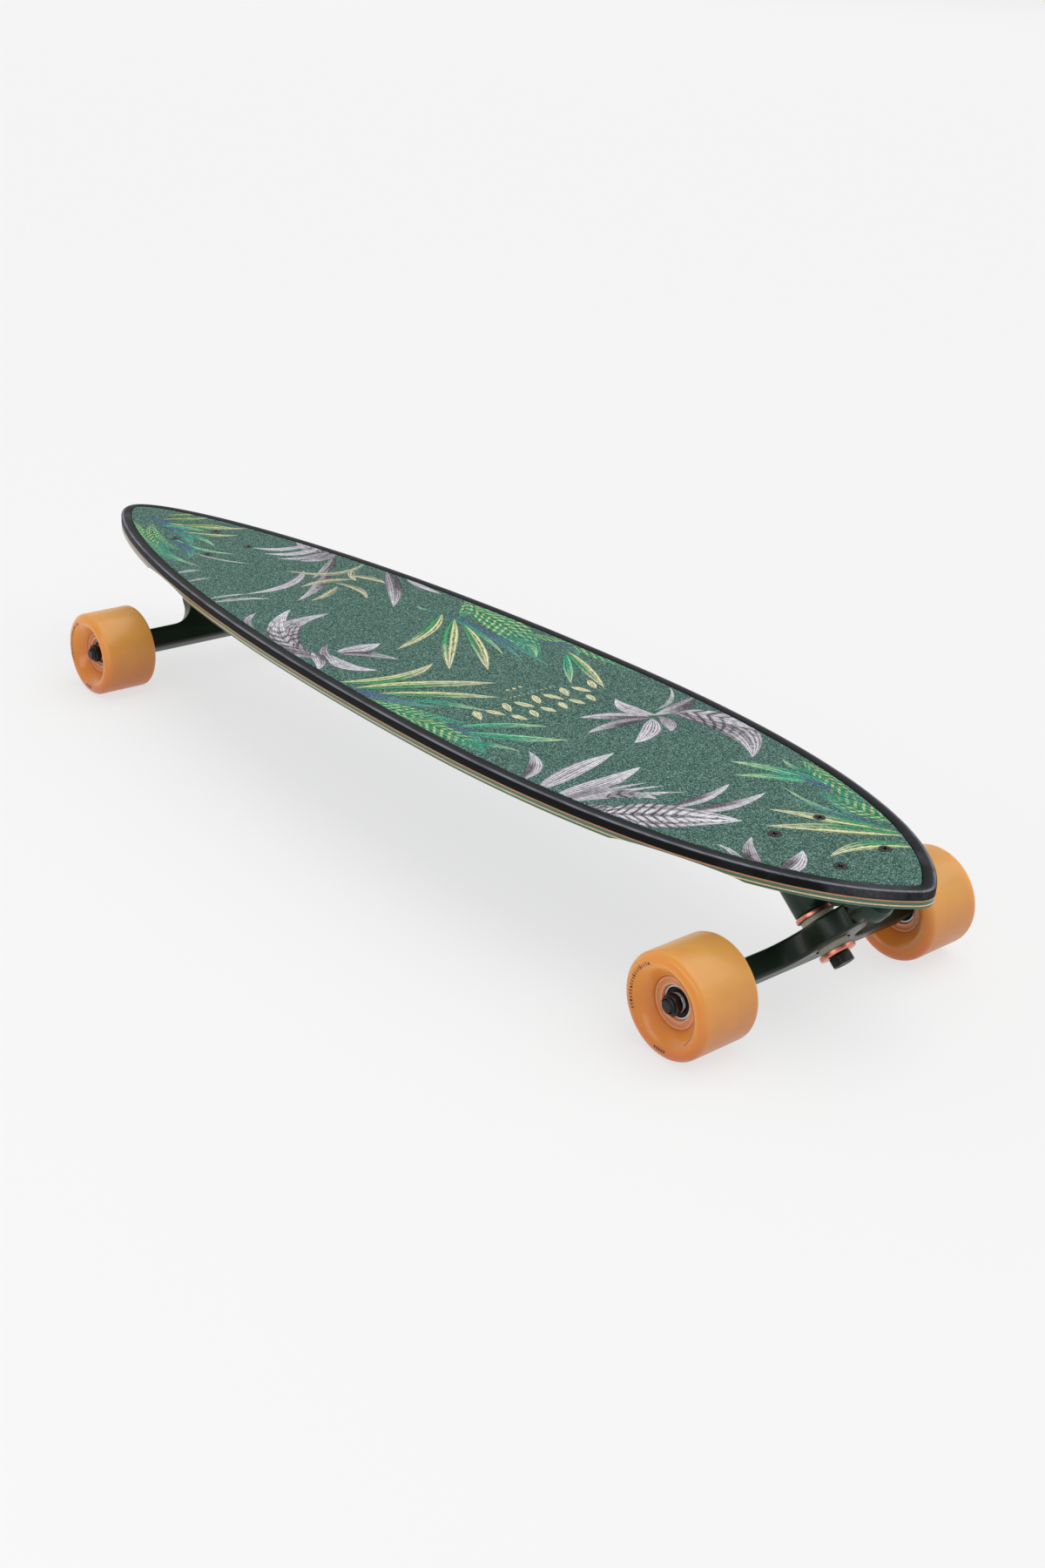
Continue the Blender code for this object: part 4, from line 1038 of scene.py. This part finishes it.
def build_trucks():
    """Both trucks. The kingpin's parts are placed by height along the steering axis from the seat."""
    base = WEB_HALF + GAP
    board_bushing = bushing_mesh(0.0116, base, base + 0.0121)
    road_low = -base - 0.0116
    road_bushing = bushing_mesh(0.0106, road_low, -base)
    washer_low = road_low - GAP - WASHER_SHEET
    board_washer = cupped_washer(0.0135, BOSS_LOW - GAP, 1)
    road_washer = cupped_washer(0.0124, washer_low, -1)
    nut_top = washer_low - GAP
    head = BOSS_HIGH + GAP
    hanger = hanger_mesh()
    baseplate = baseplate_mesh()
    kingpin = turned("kingpin", [
        (0.0, head + 0.0065), (0.0066, head + 0.0065), (0.0080, head + 0.0052), (0.0080, head),
        (0.0047, head), (0.0047, -0.0150), (0.00425, -0.0154), (0.0047, -0.0158), (0.00425, -0.0162),
        (0.0047, -0.0166), (0.0047, -0.0210), (0.0040, -0.0219), (0.0, -0.0219)], 48)
    cup = turned("cup", [(0.0, 0.0522), (0.0083, 0.0522), (0.0083, 0.0443), (0.0079, 0.0439),
                         (0.0071, 0.0439), (0.0069, 0.0443), (0.0069, 0.0518), (0.0, 0.0518)], 48, PIN_ON)
    half_axle = [(0.0, 0.126), (0.0033, 0.126)]
    pitch = 0.0008
    z = 0.1253
    while z > 0.1125:
        half_axle += [(0.0040, z), (0.00358, z - pitch / 2)]
        z -= pitch
    half_axle.append((0.0040, z))
    axle = turned("axle", mirrored(half_axle), 40, SIDE_ON, sharp=25.0)
    nut = nut_mesh("kingpin_nut", 0.0138, nut_top - 0.0068, nut_top, KINGPIN_HOLE,
                   turn=Matrix.Rotation(radians(12.0), 4, 'Z'))
    pieces = [
        ("baseplate", baseplate, BASEPLATE_PAINT_AND_REFLECTION, "truck_paint", "truck", "board"),
        ("pivot_cup", cup, CUP, "pivot_cup", "seat", "board"),
        ("kingpin", kingpin, BLACK_STEEL, "steel", "seat", "board"),
        ("board_side_washer", board_washer, COPPER, "washer_copper", "seat", "board"),
        ("board_side_bushing", board_bushing, BUSHING, "bushing_urethane", "seat", "board"),
        ("road_side_bushing", road_bushing, BUSHING, "bushing_urethane", "seat", "board"),
        ("road_side_washer", road_washer, COPPER, "washer_copper", "seat", "board"),
        ("kingpin_nut", nut, BLACK_STEEL, "black_steel", "seat", "board"),
        ("hanger", hanger, PAINT, "truck_paint", "seat", "hanger"),
        ("axle", axle, BLACK_STEEL, "steel", "axle", "hanger"),
    ]
    for end, sign in ENDS:
        truck = at(WHEELBASE_MIDDLE + sign * WHEELBASE / 2, 0.0, 0.0)
        if sign < 0:
            truck = truck @ Matrix.Rotation(pi, 4, 'Z')
        seat = truck @ at(*SEAT_POINT) @ Matrix.Rotation(-TILT, 4, 'Y')
        places = {"truck": truck, "seat": seat, "axle": truck @ at(*AXLE_POINT)}
        for name, mesh, shader, slot, where, body in pieces:
            rides = "board" if body == "board" else f"{end}_hanger"
            piece(f"{end}_{name}_detail", mesh, rides, shader, places[where], (f"{end}_{name}",))
        build_wheels(end, sign, places["axle"])


# ---- wheels

# The printed marks stand this far above the tyre, so the tyre is that much narrower at each face.
INK_LIFT = 0.00004
FACE_HEIGHT = WHEEL_HALF_WIDTH - INK_LIFT
FACE_RADIUS = 0.0285
TREAD_HEIGHT = 0.0192
# The dish's curve from the core out to the flat face: (radius, depth below the face).
DISH = ((0.0178, 0.0088), (0.0188, 0.0073), (0.0200, 0.0058), (0.0213, 0.0043), (0.0226, 0.0030),
        (0.0239, 0.0019), (0.0252, 0.0011), (0.0265, 0.0005), (0.0278, 0.0001))
CORE_RADIUS = 0.0172
AXLE_BORE = 0.0043
BEARING_INSET = 0.0085
BEARING_HALF_WIDTH = 0.0035
BEARING_OUTER_FACE = 0.0120
SPEED_WASHER_ROOM = 0.0018


def tyre_profile():
    """Half section about the wheel's own centre, +height outward: core seat, dish, face, round lip, tread."""
    upper = [(CORE_RADIUS, FACE_HEIGHT - 0.0098)]
    upper += [(radius, FACE_HEIGHT - depth) for radius, depth in DISH]
    upper += [(FACE_RADIUS + (WHEEL_RADIUS - FACE_RADIUS) * s,
               TREAD_HEIGHT + (FACE_HEIGHT - TREAD_HEIGHT) * c) for s, c in quarter_turn(14)]
    return [(CORE_RADIUS, 0.0)] + mirrored(upper)


def core_profile():
    """The stiffer core: bearing seats, a recessed floor and a raised rim at each face."""
    rim = [(0.0113, 0.0112), (0.0117, 0.0107), (0.0128, 0.0107), (0.0132, 0.0112), (0.0141, 0.0114),
           (0.0148, 0.0110), (0.0152, 0.0100), (0.0157, 0.0095), (0.0163, 0.0096), (0.0168, 0.0101),
           (0.01715, 0.0106)]
    return mirrored([(0.0087, 0.0046), (0.0113, 0.0046)]
                    + [(radius, WHEEL_HALF_WIDTH - depth) for radius, depth in rim])


def bearing_pieces():
    """Outer ring, shield and inner ring as three turned forms; the shield sits a little below the rings."""
    half = BEARING_HALF_WIDTH
    ring = turned("bearing_ring", mirrored([(0.0096, half - 0.0003), (0.0098, half), (0.0107, half),
                                            (0.0110, half - 0.0003)]), 64, SIDE_ON, sharp=20.0)
    shield = turned("bearing_shield", mirrored([(0.0066, half - 0.0006), (0.0072, half - 0.0003),
                                                (0.0090, half - 0.0003), (0.0094, half - 0.0007)]),
                    64, SIDE_ON)
    inner = turned("bearing_inner", mirrored([(AXLE_BORE, half), (0.0060, half), (0.0063, half - 0.0003)]),
                   64, SIDE_ON, sharp=20.0)
    return ring, shield, inner


def face_height(radius):
    """The height of the tyre's outer surface at a radius, over the dish, the flat face or the lip."""
    if radius <= FACE_RADIUS:
        slope = [(r, FACE_HEIGHT - depth) for r, depth in DISH] + [(FACE_RADIUS, FACE_HEIGHT)]
        for (r0, h0), (r1, h1) in zip(slope, slope[1:]):
            if r0 <= radius <= r1:
                return h0 + (radius - r0) / (r1 - r0) * (h1 - h0)
    share = min(1.0, (radius - FACE_RADIUS) / (WHEEL_RADIUS - FACE_RADIUS))
    return TREAD_HEIGHT + (FACE_HEIGHT - TREAD_HEIGHT) * sqrt(max(0.0, 1.0 - share * share))


def add_stroke(bm, angle, span, low, high, taper):
    """One closed mark between two radii, angles in degrees, its ends narrowed by taper."""
    steps = 8
    middle = (low + high) / 2
    top = []
    for k in range(steps + 1):
        t = k / steps
        turn = radians(angle + span * (t - 0.5))
        swell = (1.0 - taper) + taper * sin(pi * t)
        reach = (high - low) / 2 * max(swell, 0.06)
        top.append([(r * cos(turn), face_height(r) + INK_LIFT, r * sin(turn))
                    for r in (middle - reach, middle, middle + reach)])
    upper = [[bm.verts.new(point) for point in row] for row in top]
    lower = [[bm.verts.new((x, y - 2.5 * INK_LIFT, z)) for x, y, z in row] for row in top]
    for sheet in (upper, lower):
        for near, far in zip(sheet, sheet[1:]):
            for k in range(2):
                bm.faces.new((near[k], near[k + 1], far[k + 1], far[k]))
    for k in (0, 2):
        for i in range(steps):
            bm.faces.new((upper[i][k], upper[i + 1][k], lower[i + 1][k], lower[i][k]))
    for i in (0, steps):
        for k in range(2):
            bm.faces.new((upper[i][k], upper[i][k + 1], lower[i][k + 1], lower[i][k]))


def ink_marks():
    """Fine printed rings on the wheel's outer face: plain dashes, and one row of pointed dots."""
    bm = bmesh.new()
    for number in range(19):
        add_stroke(bm, 58.0 - 4.6 * number, 1.5 if number % 4 else 2.6, 0.0268,
                   0.0294 if number % 3 else 0.0288, 0.35)
    for number in range(30):
        add_stroke(bm, 92.0 + 4.4 * number, 2.6, 0.0247, 0.0254, 0.2)
    for number in range(5):
        add_stroke(bm, 262.0 + 4.0 * number, 2.6, 0.0276, 0.0298, 0.9)
    return mesh_from(bm, "wheel_marks")


def wheel_meshes():
    """The wheel's meshes by name, about its own centre. All four wheels share them."""
    ring, shield, inner = bearing_pieces()
    nut_low = BEARING_INSET + BEARING_HALF_WIDTH + SPEED_WASHER_ROOM
    return {
        "tyre": turned("tyre", tyre_profile(), 128, SIDE_ON.inverted(), sharp=50.0),
        "core": turned("core", core_profile(), 96, SIDE_ON.inverted(), sharp=40.0),
        "marks": ink_marks(),
        "ring": ring, "shield": shield, "inner": inner,
        "speed_washer": turned("speed_washer", mirrored([(AXLE_BORE, 0.0006), (0.0064, 0.0006),
                                                         (0.0067, 0.0003)]), 48, SIDE_ON, sharp=25.0),
        "spacer": turned("spacer", mirrored([(AXLE_BORE, 0.0047), (0.0052, 0.0047), (0.0053, 0.0045)]),
                         48, SIDE_ON),
        "nut": nut_mesh("axle_nut", 0.0127, nut_low, nut_low + 0.0066, AXLE_BORE, 0.0016, SIDE_ON.inverted()),
    }


def build_wheels(end, sign, axle_place):
    """Both wheels of one truck, left first. Their outer faces point away from the deck's middle line."""
    for side, direction in (("left", 1), ("right", -1)):
        outward = direction * sign
        turn = Matrix.Rotation(0.0 if outward > 0 else pi, 4, 'Z')
        hub = axle_place @ at(0.0, outward * WHEEL_CENTRE, 0.0) @ turn
        name = f"{end}_{side}"
        rows = [("tyre", "tyre", AMBER, "wheel_urethane", 0.0, "wheel"),
                ("core", "core", CORE, "wheel_urethane", 0.0, None),
                ("marks", "marks", INK, "wheel_urethane", 0.0, None)]
        for where, way in (("inner", -1), ("outer", 1)):
            seat = way * BEARING_INSET
            washer = way * (BEARING_OUTER_FACE + SPEED_WASHER_ROOM / 2)
            rows += [(f"{where}_bearing_ring", "ring", STEEL, "steel", seat, f"{where}_bearing"),
                     (f"{where}_bearing_shield", "shield", SHIELD, "steel", seat, None),
                     (f"{where}_bearing_inner", "inner", STEEL, "steel", seat, None),
                     (f"{where}_speed_washer", "speed_washer", STEEL, "steel", washer, None)]
        rows += [("bearing_spacer_detail", "spacer", STEEL, "steel", 0.0, "bearing_spacer"),
                 ("axle_nut_detail", "nut", BLACK_STEEL, "black_steel", 0.0, "axle_nut")]
        for part, mesh, shader, slot, shift, replaced in rows:
            body = f"{end}_hanger" if mesh == "nut" else f"{name}_wheel"
            piece(f"{name}_{part}", WHEEL_MESHES[mesh], body, shader, hub @ at(0.0, shift, 0.0),
                  (f"{name}_{replaced}",) if replaced else ())


# ---- deck bolts

def build_deck_bolts():
    """Countersunk cross-head bolts, flush with the deck's top, and the lock nuts under the baseplates."""
    top = DECK_TOP
    head = 0.0045
    shank = 0.0024
    low = top - 0.0260
    profile = [(0.0, top), (head - 0.0004, top), (head, top - 0.0003), (shank, top - 0.0024)]
    pitch = 0.0005
    z = low + 0.0080
    profile.append((shank, z))
    while z > low + 0.0008:
        profile += [(shank - 0.00028, z - pitch / 2), (shank, z - pitch)]
        z -= pitch
    profile += [(shank - 0.0004, low), (0.0, low)]
    bolt = turned("deck_bolt", profile, 40, sharp=25.0)
    slot = prism("slot", [(-0.0026, -0.0005), (0.0026, -0.0005), (0.0026, 0.0005), (-0.0026, 0.0005)],
                 -0.0013, 0.001)
    cross = turned("cross", [(0.0, 0.001), (0.0015, 0.001), (0.0013, 0.0), (0.0007, -0.0016),
                             (0.0, -0.0018)], 24)
    steps = [('DIFFERENCE', slot, at(0.0, 0.0, top)),
             ('DIFFERENCE', slot, at(0.0, 0.0, top) @ Matrix.Rotation(pi / 2, 4, 'Z')),
             ('DIFFERENCE', cross, at(0.0, 0.0, top))]
    bolt = combined("deck_bolt", bolt, steps, sharp=25.0)
    nut_top = PLATE_BOTTOM - GAP
    nut = nut_mesh("lock_nut", 0.0090, -nut_top, 0.0055 - nut_top, SCREW_HOLE, 0.0013,
                   Matrix.Rotation(pi, 4, 'X'))
    for end, number, (x, y) in bolt_places():
        turn = Matrix.Rotation(radians(37.0 * number + (20.0 if end == "rear" else 0.0)), 4, 'Z')
        place = at(x, y, 0.0) @ turn
        piece(f"{end}_bolt_{number}", bolt, "board", BLACK_STEEL, place,
              (f"{end}_deck_bolt_{number}",))
        piece(f"{end}_nut_{number}", nut, "board", BLACK_STEEL, place,
              (f"{end}_lock_nut_{number}",))


WHEEL_MESHES = wheel_meshes()
build_trucks()
build_deck_bolts()


# ---- studio

def look_from(place, target):
    """The matrix of a camera or light at place that faces target, with its own Y up."""
    facing = (Vector(target) - Vector(place)).to_track_quat('-Z', 'Y')
    return at(*place) @ facing.to_matrix().to_4x4()


def add_light(name, kind, power, place, target):
    data = bpy.data.lights.new(name, kind)
    data.energy = power
    add_object(name, data).matrix_world = look_from(place, target)
    return data


def build_floor():
    """A round paper floor that bends up into a wall, so every view has the same plain backdrop."""
    reach = 30.0
    bend = 3.0
    wall_top = 16.0
    section = [(0.0, 0.0), (reach - 0.5, 0.0)]
    section += [(reach + bend * s, bend - bend * c) for s, c in quarter_turn(12)]
    floor = add_object("floor", turned("floor", section + [(reach + bend, wall_top)], 96))
    # Some light of its own keeps the paper nearly white while its shadows stay soft.
    paper = Shader("floor_paper", (134, 134, 134), 0.95, Specular_IOR_Level=0.0, Emission_Strength=0.66)
    paper.out.inputs["Emission Color"].default_value = (1.0, 1.0, 1.0, 1.0)
    floor.data.materials.append(paper.mat)


def build_lights():
    world = bpy.data.worlds.new("studio")
    world.use_nodes = True
    background = world.node_tree.nodes["Background"]
    background.inputs["Color"].default_value = (1.0, 1.0, 1.0, 1.0)
    background.inputs["Strength"].default_value = 0.50
    scene.world = world
    sun = add_light("overhead", 'SUN', 1.62, (0.0, 0.0, 0.0), (-0.25, -0.35, -1.0))
    sun.angle = radians(70.0)
    strip = add_light("strip", 'AREA', 6.0, (0.35, -1.7, 0.8), (0.2, 0.0, 0.05))
    strip.shape = 'RECTANGLE'
    strip.size, strip.size_y = 1.8, 0.7


def build_camera():
    """The photograph's viewpoint, solved from the deck's ends, its bolts and the wheels."""
    data = bpy.data.cameras.new("camera")
    data.lens = 42.764
    data.sensor_width = 36.0
    data.clip_start = 0.05
    camera = add_object("camera", data)
    view = look_from((1.03981, -0.82468, 0.60858), (0.19769, -0.08514, 0.1))
    camera.matrix_world = view @ Matrix.Rotation(0.05158, 4, 'Z')
    scene.camera = camera
    scene.view_settings.view_transform = 'Standard'
    scene.view_settings.look = 'None'


build_floor()
build_lights()
build_camera()
bpy.context.view_layer.update()
